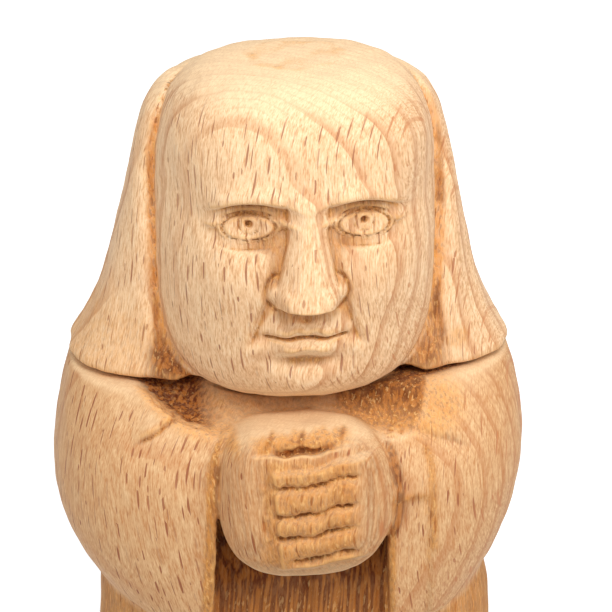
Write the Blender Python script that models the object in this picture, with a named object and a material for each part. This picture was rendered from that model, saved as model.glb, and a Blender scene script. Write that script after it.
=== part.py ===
"""Hooded monk figurine in beech: a carved head block dowelled onto a carved body block.

Metres, +Z up. The figure looks along -Y, and the origin is the middle of its flat base.
"""
import math

import bmesh
import bpy
from mathutils import Matrix, Vector

# Joint between the two blocks
BODY_HEIGHT = 0.0627
HEAD_NOD = math.radians(4.0)
HEAD_ROLL = math.radians(1.0)
HEAD_LEAN = math.radians(1.3)
JOINT_GAP = 0.0003
DOWEL_DIAMETER = 0.008
DOWEL_LENGTH = 0.024
DOWEL_CHAMFER = 0.0008
GLUE_SPACE = 0.0003

# Hood, measured up from the seat and out from the neck's axis
HOOD_HEIGHT = 0.0382
HOOD_WIDTH = 0.0540
HOOD_TOP_WIDTH = 0.0404
HOOD_DOME_START = 0.0283
HOOD_FRONT_HEM = 0.0163
HOOD_FRONT_TOP = 0.0080
HOOD_BACK_HEM = 0.0207
HOOD_BACK_TOP = 0.0165
HEM_FLARE = 0.0028
HEM_FLARE_HEIGHT = 0.0122
HEM_ROUND = 0.0009

# Bald crown and face, measured up from the seat and out from the neck's axis
CROWN_HEIGHT = 0.0411
CHEEK_HEIGHT = 0.0198
CHIN_DROP = 0.0013
CHIN_BACK = 0.0135
CHIN_CLEARANCE = 0.0006
FACE_WIDTH = 0.0362
FACE_CENTRE = 0.0050
FACE_FRONT = 0.0262
SKULL_BACK = 0.0120

# Features of the face, on the usual thirds of a head
EYE_HEIGHT = 0.0243
EYE_SPACING = 0.0150
EYE_WIDTH = 0.0072
EYE_OPENING = 0.0040
EYE_BULGE = 0.0011
SOCKET_MARGIN = 0.0013
SOCKET_DEPTH = 0.0022
NOSE_BASE_HEIGHT = 0.0149
NOSE_TOP_HEIGHT = 0.0275
NOSE_WIDTH = 0.0092
NOSE_BRIDGE_WIDTH = 0.0044
NOSE_REACH = 0.0048
NOSE_ROOT = 0.0030
MOUTH_HEIGHT = 0.0101
UPPER_LIP_WIDTH = 0.0112
LOWER_LIP_WIDTH = 0.0092
LIP_HEIGHT = 0.0014
LIP_REACH = 0.0009
LIP_ROOT = 0.0012

# Robe, measured up from the base
BASE_WIDTH = 0.0570
BASE_DEPTH = 0.0465
BASE_ROUND = 0.0010
WAIST_WIDTH = 0.0524
WAIST_DEPTH = 0.0405
WAIST_SWAY = 0.0007
CHEST_FRONT = 0.0130
NECK_WIDTH = 0.0440

# Sleeves, measured down from the seat and out from the axis
SLEEVE_LENGTH = 0.0312
SHOULDER_WIDTH = 0.0579
SHOULDER_FRONT = 0.0168
LEFT_ELBOW_DROP = 0.0117
LEFT_ELBOW_REACH = 0.0310
RIGHT_ELBOW_DROP = 0.0157
RIGHT_ELBOW_REACH = 0.0315
FOREARM_DROP = 0.0147
FOREARM_FRONT = 0.0265
SLEEVE_HEM_WIDTH = 0.0490
SLEEVE_HEM_FRONT = 0.0240
SLEEVE_BACK = 0.0220
CUFF_TOP_DROP = 0.0041
CUFF_TOP_OPENING = 0.0152
CUFF_OPENING = 0.0218
CUFF_BOTTOM_OPENING = 0.0230
CUFF_BACK = 0.0215
BACK_OPENING = 0.0290

# Sloping chest between the forearms and the folds beside it, measured down from the seat
BIB_WIDTH = 0.0276
BIB_TOP_DROP = 0.0005
BIB_TOP_FRONT = 0.0140
BIB_FOOT_DROP = 0.0054
BIB_FOOT_FRONT = 0.0224
FOLD_INNER = 0.0124
FOLD_DROP = 0.0067
FOLD_SLOPE = 1.09
LEFT_FOLD_FRONT = 0.0155
RIGHT_FOLD_FRONT = 0.0090

# Clasped hands, measured down from the seat and out from the axis
HANDS_DROP = 0.0138
HANDS_WIDTH = 0.0222
HANDS_HEIGHT = 0.0205
HANDS_BACK = 0.0150
HANDS_FRONT = 0.0310
FINGER_COUNT = 4
FINGER_DROP = 0.0160
FINGER_LENGTH = 0.0124
FINGER_PITCH = 0.0031
FINGER_OVERLAP = 0.0005
FINGER_DEPTH = 0.0048
FINGER_REACH = 0.0007
FINGER_RISE = math.radians(9.0)
FINGER_SHIFT = 0.0014
THUMB_DROP = 0.0063
THUMB_LENGTH = 0.0118
THUMB_WIDTH = 0.0042

# Boxiness of the rounded sections, where 2 is an ellipse
HOOD_POWER = 2.5
HOOD_DOME_POWER = 4.0
CROWN_POWER = 3.8
FACE_POWER = 2.4
JAW_POWER = 4.2
ROBE_POWER = 2.4
SLEEVE_POWER = 2.5
HAND_POWER = 2.8
HAND_TOP_POWER = 3.6
FINGER_POWER = 3.4
ROUND = 2.0

# Mesh fineness, and how far a blank runs past the plane that trims it
RING_POINTS = 52
FINE_POINTS = 24
POLE_LIMIT = 0.97
TRIM = 0.006

BEECH = (0.72, 0.45, 0.23, 1.0)
PALE_BEECH = (0.78, 0.56, 0.34, 1.0)
WOOD_ROUGHNESS = 0.5

LEAN = Matrix.Shear('XY', 4, (math.tan(HEAD_LEAN), 0.0))


def clear_scene():
    for item in list(bpy.data.objects):
        bpy.data.objects.remove(item, do_unlink=True)


def wood(name, colour):
    """Principled material of one piece."""
    material = bpy.data.materials.new(name)
    material.use_nodes = True
    shader = material.node_tree.nodes["Principled BSDF"]
    shader.inputs["Base Color"].default_value = colour
    shader.inputs["Roughness"].default_value = WOOD_ROUGHNESS
    shader.inputs["Metallic"].default_value = 0.0
    return material


def smoothstep(value):
    t = min(max(value, 0.0), 1.0)
    return t * t * (3.0 - 2.0 * t)


def mix(start, end, t):
    return start + (end - start) * t


def steps(count):
    """Evenly spaced values from 0 to 1."""
    return [index / count for index in range(count + 1)]


def signed_power(value, power):
    return math.copysign(abs(value) ** power, value)


def outline(z, half_width, front, back, power, points=RING_POINTS, centre_y=0.0, sway=0.0):
    """Closed superellipse at height z, with its own depth in front of and behind its centre.

    Sway is added to its half width on the figure's left and taken off it on the right.
    """
    ring = []
    for index in range(points):
        angle = 2.0 * math.pi * (index + 0.5) / points
        across = signed_power(math.cos(angle), 2.0 / power)
        along = signed_power(math.sin(angle), 2.0 / power)
        reach = half_width + math.copysign(sway, across)
        depth = back if along > 0.0 else front
        ring.append(Vector((reach * across, centre_y + depth * along, z)))
    return ring


def loft(name, rings):
    """Closed skin over a stack of rings that have equal numbers of points, bottom ring first."""
    mesh = bpy.data.meshes.new(name)
    shape = bmesh.new()
    loops = [[shape.verts.new(point) for point in ring] for ring in rings]
    for low, high in zip(loops, loops[1:]):
        for index in range(len(low)):
            after = (index + 1) % len(low)
            shape.faces.new((low[index], low[after], high[after], high[index]))
    shape.faces.new(list(reversed(loops[0])))
    shape.faces.new(loops[-1])
    shape.to_mesh(mesh)
    shape.free()
    mesh.shade_smooth()
    item = bpy.data.objects.new(name, mesh)
    bpy.context.scene.collection.objects.link(item)
    return item


def boulder(name, width, front, back, below, above, powers, points=FINE_POINTS, rings=12):
    """Rounded block about its own origin; powers are those of its plan, underside and top."""
    plan, low_power, high_power = powers
    stack = []
    for t in steps(rings):
        slope = mix(-POLE_LIMIT, POLE_LIMIT, t) * math.pi / 2.0
        power = high_power if slope > 0.0 else low_power
        reach = above if slope > 0.0 else below
        z = reach * signed_power(math.sin(slope), 2.0 / power)
        spread = math.cos(slope) ** (2.0 / power)
        stack.append(outline(z, width / 2.0 * spread, front * spread, back * spread, plan, points))
    return loft(name, stack)


def block(name, low, high):
    """Box between two corners."""
    corners = ((low[0], low[1]), (high[0], low[1]), (high[0], high[1]), (low[0], high[1]))
    return loft(name, [[Vector((x, y, z)) for x, y in corners] for z in (low[2], high[2])])


def rod(name, radius, low, high, chamfer):
    """Upright round rod with chamfered ends."""
    tip = radius - chamfer
    ends = ((low, tip), (low + chamfer, radius), (high - chamfer, radius), (high, tip))
    item = loft(name, [outline(z, size, size, size, ROUND, FINE_POINTS) for z, size in ends])
    item.data.set_sharp_from_angle(angle=math.radians(30.0))
    return item


def guide(item, parent=None, location=(0.0, 0.0, 0.0), rotation=(0.0, 0.0, 0.0)):
    """Turn an object into a tool for Booleans that is not built by itself."""
    item.location = location
    item.rotation_euler = rotation
    item.parent = parent
    item.hide_render = True
    item.display_type = 'WIRE'
    return item


def on_head(item, seat, location=(0.0, 0.0, 0.0)):
    """Tool on the head block, sheared sideways with the rest of the head."""
    item.data.transform(LEAN)
    return guide(item, seat, LEAN @ Vector(location))


def combine(item, tool, operation):
    step = item.modifiers.new(tool.name, 'BOOLEAN')
    step.operation = operation
    step.solver = 'EXACT'
    step.object = tool


def neck_seat():
    """Empty on the seat plane, nodded and rolled as the head is."""
    seat = bpy.data.objects.new("neck_seat", None)
    bpy.context.scene.collection.objects.link(seat)
    seat.location = (0.0, 0.0, BODY_HEIGHT)
    seat.rotation_euler = (HEAD_NOD, -HEAD_ROLL, 0.0)
    return seat


def hood_outline(z, inset=0.0, shrink=1.0):
    """Section of the hood: a taper with a flared hem, shallower in front towards the crown."""
    taper = mix(HOOD_WIDTH, HOOD_TOP_WIDTH, z / HOOD_DOME_START) / 2.0
    flare = HEM_FLARE * (1.0 - min(z / HEM_FLARE_HEIGHT, 1.0)) ** 2
    rise = z / HOOD_HEIGHT
    half_width = (taper + flare - inset) * shrink
    front = (mix(HOOD_FRONT_HEM, HOOD_FRONT_TOP, rise) - inset) * shrink
    back = (mix(HOOD_BACK_HEM, HOOD_BACK_TOP, rise) + flare - inset) * shrink
    return outline(z, half_width, front, back, HOOD_POWER)


def hood_blank():
    """Hood with a rounded hem, a tapering wall and a domed top."""
    rings = []
    for t in steps(4)[:-1]:
        angle = t * math.pi / 2.0
        rings.append(hood_outline(HEM_ROUND * (1.0 - math.cos(angle)), HEM_ROUND * (1.0 - math.sin(angle))))
    for t in steps(9)[:-1]:
        rings.append(hood_outline(mix(HEM_ROUND, HOOD_DOME_START, t)))
    for t in steps(7):
        slope = POLE_LIMIT * t * math.pi / 2.0
        lift = math.sin(slope) ** (2.0 / HOOD_DOME_POWER)
        shrink = math.cos(slope) ** (2.0 / HOOD_DOME_POWER)
        rings.append(hood_outline(mix(HOOD_DOME_START, HOOD_HEIGHT, lift), 0.0, shrink))
    item = loft("head", rings)
    item.data.transform(LEAN)
    return item


def face_form(name, seat, grow=0.0):
    """Egg of the bald crown, the face and the full jaw, with an even allowance all round."""
    front = FACE_FRONT - FACE_CENTRE + grow
    back = SKULL_BACK + FACE_CENTRE + grow
    below = CHEEK_HEIGHT + CHIN_DROP + grow
    above = CROWN_HEIGHT - CHEEK_HEIGHT + grow
    powers = (FACE_POWER, JAW_POWER, CROWN_POWER)
    item = boulder(name, FACE_WIDTH + 2.0 * grow, front, back, below, above, powers, RING_POINTS, 20)
    return on_head(item, seat, (0.0, -FACE_CENTRE, CHEEK_HEIGHT))


def face_surface(x, z):
    """Y of the face's front at a point of the face."""
    rise = (z - CHEEK_HEIGHT) / (CROWN_HEIGHT - CHEEK_HEIGHT)
    power = CROWN_POWER
    if z < CHEEK_HEIGHT:
        rise = (CHEEK_HEIGHT - z) / (CHEEK_HEIGHT + CHIN_DROP)
        power = JAW_POWER
    spread = (1.0 - rise ** power) ** (FACE_POWER / power)
    across = abs(2.0 * x / FACE_WIDTH) ** FACE_POWER
    return -FACE_CENTRE - (FACE_FRONT - FACE_CENTRE) * (spread - across) ** (1.0 / FACE_POWER)


def nose(seat):
    """Wedge that widens and stands out more towards its flat underside."""
    rings = []
    for t in steps(6):
        z = mix(NOSE_BASE_HEIGHT, NOSE_TOP_HEIGHT, t)
        half_width = mix(NOSE_WIDTH, NOSE_BRIDGE_WIDTH, t) / 2.0
        reach = NOSE_REACH * (1.0 - t) + NOSE_ROOT
        centre = face_surface(0.0, z) + NOSE_ROOT
        rings.append(outline(z, half_width, reach, NOSE_ROOT, ROUND, FINE_POINTS, centre))
    return on_head(loft("nose", rings), seat)


def eyes(seat):
    """Sockets to cut and eyeballs to add, one of each on either side."""
    sockets = []
    balls = []
    powers = (ROUND, ROUND, ROUND)
    for side, label in ((-1.0, "right"), (1.0, "left")):
        x = side * EYE_SPACING / 2.0
        y = face_surface(x, EYE_HEIGHT)
        half = EYE_OPENING / 2.0
        depth = SOCKET_DEPTH
        ball = boulder(label + "_eye", EYE_WIDTH, depth, depth, half, half, powers)
        balls.append(on_head(ball, seat, (x, y + EYE_BULGE, EYE_HEIGHT)))
        width = EYE_WIDTH + 2.0 * SOCKET_MARGIN
        half += SOCKET_MARGIN
        socket = boulder(label + "_socket", width, depth, depth, half, half, powers)
        sockets.append(on_head(socket, seat, (x, y, EYE_HEIGHT)))
    return sockets, balls


def lips(seat):
    """Upper and lower lip, meeting at the line of the mouth."""
    shapes = []
    half = LIP_HEIGHT
    reach = LIP_REACH + LIP_ROOT
    powers = (ROUND, ROUND, ROUND)
    for side, label, width in ((1.0, "upper_lip", UPPER_LIP_WIDTH), (-1.0, "lower_lip", LOWER_LIP_WIDTH)):
        z = MOUTH_HEIGHT + side * LIP_HEIGHT
        lip = boulder(label, width, reach, reach, half, half, powers, FINE_POINTS, 8)
        shapes.append(on_head(lip, seat, (0.0, face_surface(0.0, z) + LIP_ROOT, z)))
    return shapes


def bore(seat):
    """Tool for the blind bores: the dowel with the joint's gap round it and glue space at its ends."""
    radius = DOWEL_DIAMETER / 2.0 + JOINT_GAP
    reach = DOWEL_LENGTH / 2.0 + GLUE_SPACE
    middle = -JOINT_GAP / 2.0
    return guide(rod("dowel_bore", radius, middle - reach, middle + reach, DOWEL_CHAMFER), seat)


def make_head(seat, bore_tool):
    head = hood_blank()
    head.parent = seat
    combine(head, face_form("face", seat), 'UNION')
    sockets, balls = eyes(seat)
    for socket in sockets:
        combine(head, socket, 'DIFFERENCE')
    for form in (*balls, nose(seat), *lips(seat)):
        combine(head, form, 'UNION')
    far = HOOD_WIDTH
    below = block("under_head", (-far, -CHIN_BACK, -far), (far, far, 0.0))
    combine(head, guide(below, seat), 'DIFFERENCE')
    combine(head, bore_tool, 'DIFFERENCE')
    head.data.materials.append(wood("beech_head", BEECH))


def robe_blank():
    """Skirt that narrows to the waist, and a torso with a chest set back under the chin."""
    waist = BODY_HEIGHT - SLEEVE_LENGTH
    back = WAIST_DEPTH / 2.0
    rings = []
    for t in steps(2)[:-1]:
        angle = t * math.pi / 2.0
        inset = BASE_ROUND * (1.0 - math.sin(angle))
        depth = BASE_DEPTH / 2.0 - inset
        z = BASE_ROUND * (1.0 - math.cos(angle))
        rings.append(outline(z, BASE_WIDTH / 2.0 - inset, depth, depth, ROBE_POWER))
    for t in steps(6)[:-1]:
        flare = (1.0 - t) ** 2
        depth = mix(WAIST_DEPTH, BASE_DEPTH, flare) / 2.0
        half_width = mix(WAIST_WIDTH, BASE_WIDTH, flare) / 2.0
        z = mix(BASE_ROUND, waist, t)
        sway = WAIST_SWAY * (1.0 - flare)
        rings.append(outline(z, half_width, depth, depth, ROBE_POWER, sway=sway))
    for t in steps(7):
        z = mix(waist, BODY_HEIGHT + 2.0 * TRIM, t)
        share = (z - waist) / SLEEVE_LENGTH
        front = mix(back, CHEST_FRONT, smoothstep(share))
        half_width = mix(WAIST_WIDTH, NECK_WIDTH, share) / 2.0
        rings.append(outline(z, half_width, front, back, ROBE_POWER, sway=WAIST_SWAY))
    return loft("body", rings)


def bulge(z, peak_z, peak, top_z, top, bottom_z, bottom):
    """Parabola down from a peak to a value at a top height and another at a bottom height."""
    end, end_z = (top, top_z) if z > peak_z else (bottom, bottom_z)
    t = (z - peak_z) / (end_z - peak_z)
    return mix(peak, end, t * t)


def sleeve_reach(z, elbow_drop, elbow_reach):
    """How far out one sleeve reaches at height z."""
    shoulder = SHOULDER_WIDTH / 2.0
    hem = SLEEVE_HEM_WIDTH / 2.0
    elbow = BODY_HEIGHT - elbow_drop
    return bulge(z, elbow, elbow_reach, BODY_HEIGHT, shoulder, BODY_HEIGHT - SLEEVE_LENGTH, hem)


def sleeves():
    """Barrel of both sleeves, opened between the cuffs in front and down the back."""
    top = BODY_HEIGHT
    bottom = BODY_HEIGHT - SLEEVE_LENGTH
    forearm = BODY_HEIGHT - FOREARM_DROP
    rings = []
    for t in steps(14):
        z = mix(bottom, top + TRIM, t)
        left = sleeve_reach(z, LEFT_ELBOW_DROP, LEFT_ELBOW_REACH)
        right = sleeve_reach(z, RIGHT_ELBOW_DROP, RIGHT_ELBOW_REACH)
        half_width = (left + right) / 2.0
        sway = (left - right) / 2.0
        front = bulge(z, forearm, FOREARM_FRONT, top, SHOULDER_FRONT, bottom, SLEEVE_HEM_FRONT)
        rings.append(outline(z, half_width, front, SLEEVE_BACK, SLEEVE_POWER, sway=sway))
    barrel = guide(loft("sleeves", rings))
    combine(barrel, cuff_opening(), 'DIFFERENCE')
    combine(barrel, back_opening(), 'DIFFERENCE')
    return barrel


def cuff_opening():
    """Slot between the cuffs, deepest below the hands."""
    top = BODY_HEIGHT - CUFF_TOP_DROP
    middle = BODY_HEIGHT - HANDS_DROP
    bottom = BODY_HEIGHT - SLEEVE_LENGTH
    front = -FOREARM_FRONT - HANDS_FRONT
    rings = []
    for t in steps(8):
        z = mix(bottom - TRIM, top, t)
        width = bulge(z, middle, CUFF_OPENING, top, CUFF_TOP_OPENING, bottom, CUFF_BOTTOM_OPENING)
        half = width / 2.0
        back = -mix(CHEST_FRONT, CUFF_BACK, smoothstep((z - bottom) / (middle - bottom)))
        corners = ((-half, front), (half, front), (half, back), (-half, back))
        rings.append([Vector((x, y, z)) for x, y in corners])
    return guide(loft("cuff_opening", rings))


def back_opening():
    """Slot down the back, where the robe shows between the sleeves."""
    half = BACK_OPENING / 2.0
    low = (-half, WAIST_DEPTH / 4.0, BODY_HEIGHT - SLEEVE_LENGTH - TRIM)
    high = (half, SLEEVE_BACK + TRIM, BODY_HEIGHT + 2.0 * TRIM)
    return guide(block("back_opening", low, high))


def bib():
    """Room over the chest, down to a plane that slopes forward from the neck to the forearms."""
    slope = math.atan2(BIB_FOOT_DROP - BIB_TOP_DROP, BIB_FOOT_FRONT - BIB_TOP_FRONT)
    half = BIB_WIDTH / 2.0
    far = HOOD_WIDTH
    room = block("bib", (-half, -far, 0.0), (half, far, far))
    return guide(room, None, (0.0, -BIB_FOOT_FRONT, BODY_HEIGHT - BIB_FOOT_DROP), (slope, 0.0, 0.0))


def fold(name, side, front):
    """Wedge cut beside the chest, where the sleeve folds up to the shoulder."""
    low = BODY_HEIGHT - FOLD_DROP
    high = BODY_HEIGHT + TRIM
    inner = side * FOLD_INNER
    outer = inner + side * FOLD_SLOPE * (high - low)
    corners = [(inner, low), (inner, high), (outer, high)]
    if side < 0.0:
        corners.reverse()
    rings = [[Vector((x, y, z)) for x, z in corners] for y in (-HOOD_WIDTH, -front)]
    return guide(loft(name, rings))


def chin_room(seat):
    """Space that the chin hangs in, with clearance, in front of the neck."""
    room = face_form("chin_room", seat, CHIN_CLEARANCE)
    far = HOOD_WIDTH
    behind = block("behind_chin", (-far, CHIN_CLEARANCE - CHIN_BACK, -far), (far, far, far))
    combine(room, guide(behind, seat), 'DIFFERENCE')
    return room


def hands():
    """Clasped fists, the fingers of one hand wrapped round the other, and the thumbs on top."""
    centre = -(HANDS_FRONT + HANDS_BACK) / 2.0
    depth = (HANDS_FRONT - HANDS_BACK) / 2.0
    half = HANDS_HEIGHT / 2.0
    powers = (HAND_POWER, HAND_POWER, HAND_TOP_POWER)
    fists = boulder("fists", HANDS_WIDTH, depth, depth, half, half, powers, 36, 14)
    shapes = [guide(fists, None, (0.0, centre, BODY_HEIGHT - HANDS_DROP))]
    turn = (0.0, -FINGER_RISE, 0.0)
    powers = (FINGER_POWER, ROUND, ROUND)
    depth = FINGER_DEPTH / 2.0
    front = -HANDS_FRONT - FINGER_REACH + depth
    half = FINGER_PITCH / 2.0 + FINGER_OVERLAP
    for index in range(FINGER_COUNT):
        drop = FINGER_DROP + FINGER_PITCH * (index - (FINGER_COUNT - 1) / 2.0)
        finger = boulder("finger_%d" % (index + 1), FINGER_LENGTH, depth, depth, half, half, powers)
        shapes.append(guide(finger, None, (FINGER_SHIFT, front, BODY_HEIGHT - drop), turn))
    half = THUMB_WIDTH / 2.0
    thumbs = boulder("thumbs", THUMB_LENGTH, depth, depth, half, half, powers)
    shapes.append(guide(thumbs, None, (FINGER_SHIFT, front + FINGER_REACH, BODY_HEIGHT - THUMB_DROP), turn))
    return shapes


def make_body(seat, bore_tool):
    body = robe_blank()
    combine(body, sleeves(), 'UNION')
    combine(body, bib(), 'DIFFERENCE')
    combine(body, fold("right_fold", -1.0, RIGHT_FOLD_FRONT), 'DIFFERENCE')
    combine(body, fold("left_fold", 1.0, LEFT_FOLD_FRONT), 'DIFFERENCE')
    for form in hands():
        combine(body, form, 'UNION')
    combine(body, chin_room(seat), 'DIFFERENCE')
    far = HOOD_WIDTH
    above = block("over_body", (-far, -far, -JOINT_GAP), (far, far, far))
    combine(body, guide(above, seat), 'DIFFERENCE')
    combine(body, bore_tool, 'DIFFERENCE')
    body.data.materials.append(wood("beech_body", BEECH))


def make_dowel(seat):
    middle = -JOINT_GAP / 2.0
    reach = DOWEL_LENGTH / 2.0
    dowel = rod("neck_dowel", DOWEL_DIAMETER / 2.0, middle - reach, middle + reach, DOWEL_CHAMFER)
    dowel.parent = seat
    dowel.data.materials.append(wood("beech_dowel", PALE_BEECH))


def main():
    clear_scene()
    seat = neck_seat()
    bore_tool = bore(seat)
    make_head(seat, bore_tool)
    make_body(seat, bore_tool)
    make_dowel(seat)


main()
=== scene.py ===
# %% [markdown]
# # A hooded monk carved in beech
#
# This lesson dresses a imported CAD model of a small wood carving: a broad monk with a bald crown, a
# long hood and clasped hands between wide sleeves. The CAD model holds the true sizes. It is loaded
# first as a fixed frame, and everything below is made around it, in the same place. The carving
# itself is cut in numbers: a formula tells for each point whether it lies in the wood, and a skin of
# small faces is laid over its surface. A real carver works the same way, from big forms to small cuts.

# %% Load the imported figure
import math

import bmesh
import bpy
import numpy as np
from mathutils import Euler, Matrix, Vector


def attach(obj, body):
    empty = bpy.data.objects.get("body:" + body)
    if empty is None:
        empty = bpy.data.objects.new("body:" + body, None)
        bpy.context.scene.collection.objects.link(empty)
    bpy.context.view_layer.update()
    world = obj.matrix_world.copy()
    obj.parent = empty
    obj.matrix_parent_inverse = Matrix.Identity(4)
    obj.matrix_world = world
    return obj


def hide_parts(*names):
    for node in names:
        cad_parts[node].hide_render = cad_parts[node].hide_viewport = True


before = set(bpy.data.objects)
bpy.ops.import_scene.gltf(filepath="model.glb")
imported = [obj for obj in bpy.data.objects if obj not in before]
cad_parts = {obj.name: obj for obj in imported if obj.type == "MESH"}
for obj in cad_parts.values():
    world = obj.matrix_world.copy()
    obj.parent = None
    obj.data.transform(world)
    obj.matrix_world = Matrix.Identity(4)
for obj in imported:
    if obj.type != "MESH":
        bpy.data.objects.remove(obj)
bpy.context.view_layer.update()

# %% [markdown]
# ## Camera
#
# The photograph was taken with a long lens from a little above, slightly to the figure's right. A long
# lens keeps the hood from bulging towards us, as a wide lens would make it. All carving sizes in this
# lesson are in millimetres, so MM turns them into Blender's metres. Left and right are as we see them.

# %% Place the camera
MM = 0.001
CAMERA_TURN = math.radians(-5)
CAMERA_RISE = math.radians(16)
CAMERA_DISTANCE = 450
CAMERA_LENS = 199
LOOK_HEIGHT = 67.4
LOOK_ASIDE = 2.3

towards_camera = Vector((
    math.sin(CAMERA_TURN) * math.cos(CAMERA_RISE),
    -math.cos(CAMERA_TURN) * math.cos(CAMERA_RISE),
    math.sin(CAMERA_RISE),
))
camera_right = Vector((math.cos(CAMERA_TURN), math.sin(CAMERA_TURN), 0))
looked_at = Vector((0, 0, LOOK_HEIGHT)) + camera_right * LOOK_ASIDE
camera = bpy.data.objects.new("camera", bpy.data.cameras.new("camera"))
camera.data.lens = CAMERA_LENS
camera.data.clip_start = 0.01
camera.location = (looked_at + towards_camera * CAMERA_DISTANCE) * MM
camera.rotation_euler = (-towards_camera).to_track_quat("-Z", "Y").to_euler()
bpy.context.collection.objects.link(camera)
bpy.context.scene.camera = camera
print("camera at", [round(v, 3) for v in camera.location])

# %% [markdown]
# ## A carver's formulas
#
# Each form is a function that gives the distance from a point to the form's surface: negative in the
# wood, positive in the air. Such fields join and cut far more softly than meshes do. Where two forms
# are joined, the corner between them can be filled, and where one is cut from another, the edge can be
# eased, as sandpaper does. Sculpting by hand would also work, but a formula can be read and changed.

# %% Join, cut and soften
def mix(a, b, share):
    return a + (b - a) * share


def ease(share):
    share = np.clip(share, 0, 1)
    return share * share * (3 - 2 * share)


def bell(offset):
    return np.exp(-offset * offset)


def between(value, low, high, soft):
    return ease((value - low) / soft) * ease((high - value) / soft)


def join(form, other, fillet):
    share = np.clip(0.5 + 0.5 * (other - form) / fillet, 0, 1)
    return mix(other, form, share) - fillet * share * (1 - share)


def cut(form, tool, easing):
    return -join(-form, tool, easing)


print("a fillet of 2 mm fills a corner by", -join(0.0, 0.0, 2.0), "mm")

# %% [markdown]
# ## One rounded block for every big form
#
# Hood, crown, robe, sleeves and fists are all rounded blocks: an outline between an ellipse and a
# rectangle, with its own reach to the front and to the back, and perhaps a domed top. One function
# makes them all. It divides by the steepness of its own formula, so that its value stays close to a
# true distance in millimetres, which the easing of edges needs.

# %% A rounded block
STEEPNESS_FLOOR = 0.02


def block(x, y, half_width, front, back, plan_power, rise=0.0, rise_rate=0.0, rise_power=2.0):
    depth = np.where(y < 0, front, back)
    aside = np.abs(x) / half_width
    along = np.abs(y) / depth
    plan = np.maximum((aside**plan_power + along**plan_power) ** (1 / plan_power), 0.001)
    whole = (plan**rise_power + rise**rise_power) ** (1 / rise_power)
    plan_slope = np.hypot(
        (aside / plan) ** (plan_power - 1) / half_width, (along / plan) ** (plan_power - 1) / depth
    )
    slope = np.hypot(
        (plan / whole) ** (rise_power - 1) * plan_slope, (rise / whole) ** (rise_power - 1) * rise_rate
    )
    return (whole - 1) / np.maximum(slope, STEEPNESS_FLOOR)


def boulder(x, y, z, half_width, front, back, below, above, plan_power, low_power, high_power):
    height = np.where(z < 0, below, above)
    power = np.where(z < 0, low_power, high_power)
    return block(x, y, half_width, front, back, plan_power, np.abs(z) / height, 1 / height, power)


print("1 mm outside a round block:", block(np.array(11.0), np.array(0.0), 10, 10, 10, 2).round(2))

# %% [markdown]
# ## The seat between head and body
#
# The head is a block of its own that sits on the body, nodding forward and rolled a little to one
# side, and the whole head leans a touch over its seat. So it is carved standing straight, in its own
# frame with the seat at height zero, and then sheared and turned into place.

# %% Head frame
SEAT_HEIGHT = 62.7
HEAD_NOD = math.radians(4)
HEAD_ROLL = math.radians(1)
HEAD_LEAN = math.tan(math.radians(1.3))
JOINT_GAP = 0.3

seat_turn = Euler((HEAD_NOD, -HEAD_ROLL, 0)).to_matrix()
seat_rows = np.array(seat_turn)


def into_head(x, y, z):
    rise = z - SEAT_HEIGHT
    aside, along, up = [
        seat_rows[0, k] * x + seat_rows[1, k] * y + seat_rows[2, k] * rise for k in range(3)
    ]
    return aside - HEAD_LEAN * up, along, up


def out_of_head(points):
    leaning = points + np.outer(points[:, 2], (HEAD_LEAN, 0, 0))
    return leaning @ seat_rows.T + (0, 0, SEAT_HEIGHT)


print("a point 40 mm over the seat stands at", out_of_head(np.array([[0.0, 0.0, 40.0]])).round(1)[0])

# %% [markdown]
# ## The hood
#
# The hood hangs like heavy hair on both sides of the face. It is narrow at the crown and flares to a
# rounded hem just above the seam. Its outline is a rounded block whose width and depth change with the
# height, and above its shoulder it closes in a dome.

# %% Hood
HOOD_HEIGHT = 38.2
HOOD_HALF_WIDTH = 27
HOOD_TOP_HALF_WIDTH = 20.2
HOOD_LEAST_HALF_WIDTH = 16.2
HOOD_DOME_START = 28.3
HOOD_FRONT = (16.3, 8)
HOOD_LEAST_FRONT = 2
HOOD_BACK = (20.7, 16.5)
HOOD_PLAN_POWER = 2.5
HOOD_DOME_POWER = 4
HEM_FLARE = 2.8
HEM_FLARE_HEIGHT = 12.2
HEM_EASING = 1.6


def hood(x, y, z):
    flare = HEM_FLARE * (1 - np.clip(z / HEM_FLARE_HEIGHT, 0, 1)) ** 2
    half_width = mix(HOOD_HALF_WIDTH, HOOD_TOP_HALF_WIDTH, z / HOOD_DOME_START) + flare
    half_width = np.maximum(half_width, HOOD_LEAST_HALF_WIDTH)
    front = np.maximum(mix(*HOOD_FRONT, z / HOOD_HEIGHT), HOOD_LEAST_FRONT)
    back = mix(*HOOD_BACK, z / HOOD_HEIGHT) + flare
    dome_height = HOOD_HEIGHT - HOOD_DOME_START
    rise = np.maximum(z - HOOD_DOME_START, 0) / dome_height
    cloth = block(
        x, y, half_width, front, back, HOOD_PLAN_POWER, rise, 1 / dome_height, HOOD_DOME_POWER
    )
    return cut(cloth, z, HEM_EASING)


print("hood is", 2 * (HOOD_HALF_WIDTH + HEM_FLARE), "mm wide at its hem")

# %% [markdown]
# ## Torn grain
#
# Where a knife ends in a corner, the fibres tear and leave a rough bottom. Noise from Blender's own
# textures could lift the faces later, but then the easing of the edges would not know of it. So a
# small noise of our own is added to the tool before it cuts: luck at the corners of a grid, eased in
# between. It has no random state, so it is the same on every run. Torn fibres are longer than wide.

# %% Torn grain
CORNERS = [(a, b, c) for a in (0, 1) for b in (0, 1) for c in (0, 1)]
LUCK_TURNS = (12.99, 78.23, 37.72)
LUCK_SCALE = 43758.55
TEAR_CELLS = (0.9, 0.5)
TEAR_FINE_SHARE = 0.6
FIBRE_STRETCH = 1.8
TEAR_REACH = 1.5


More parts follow.
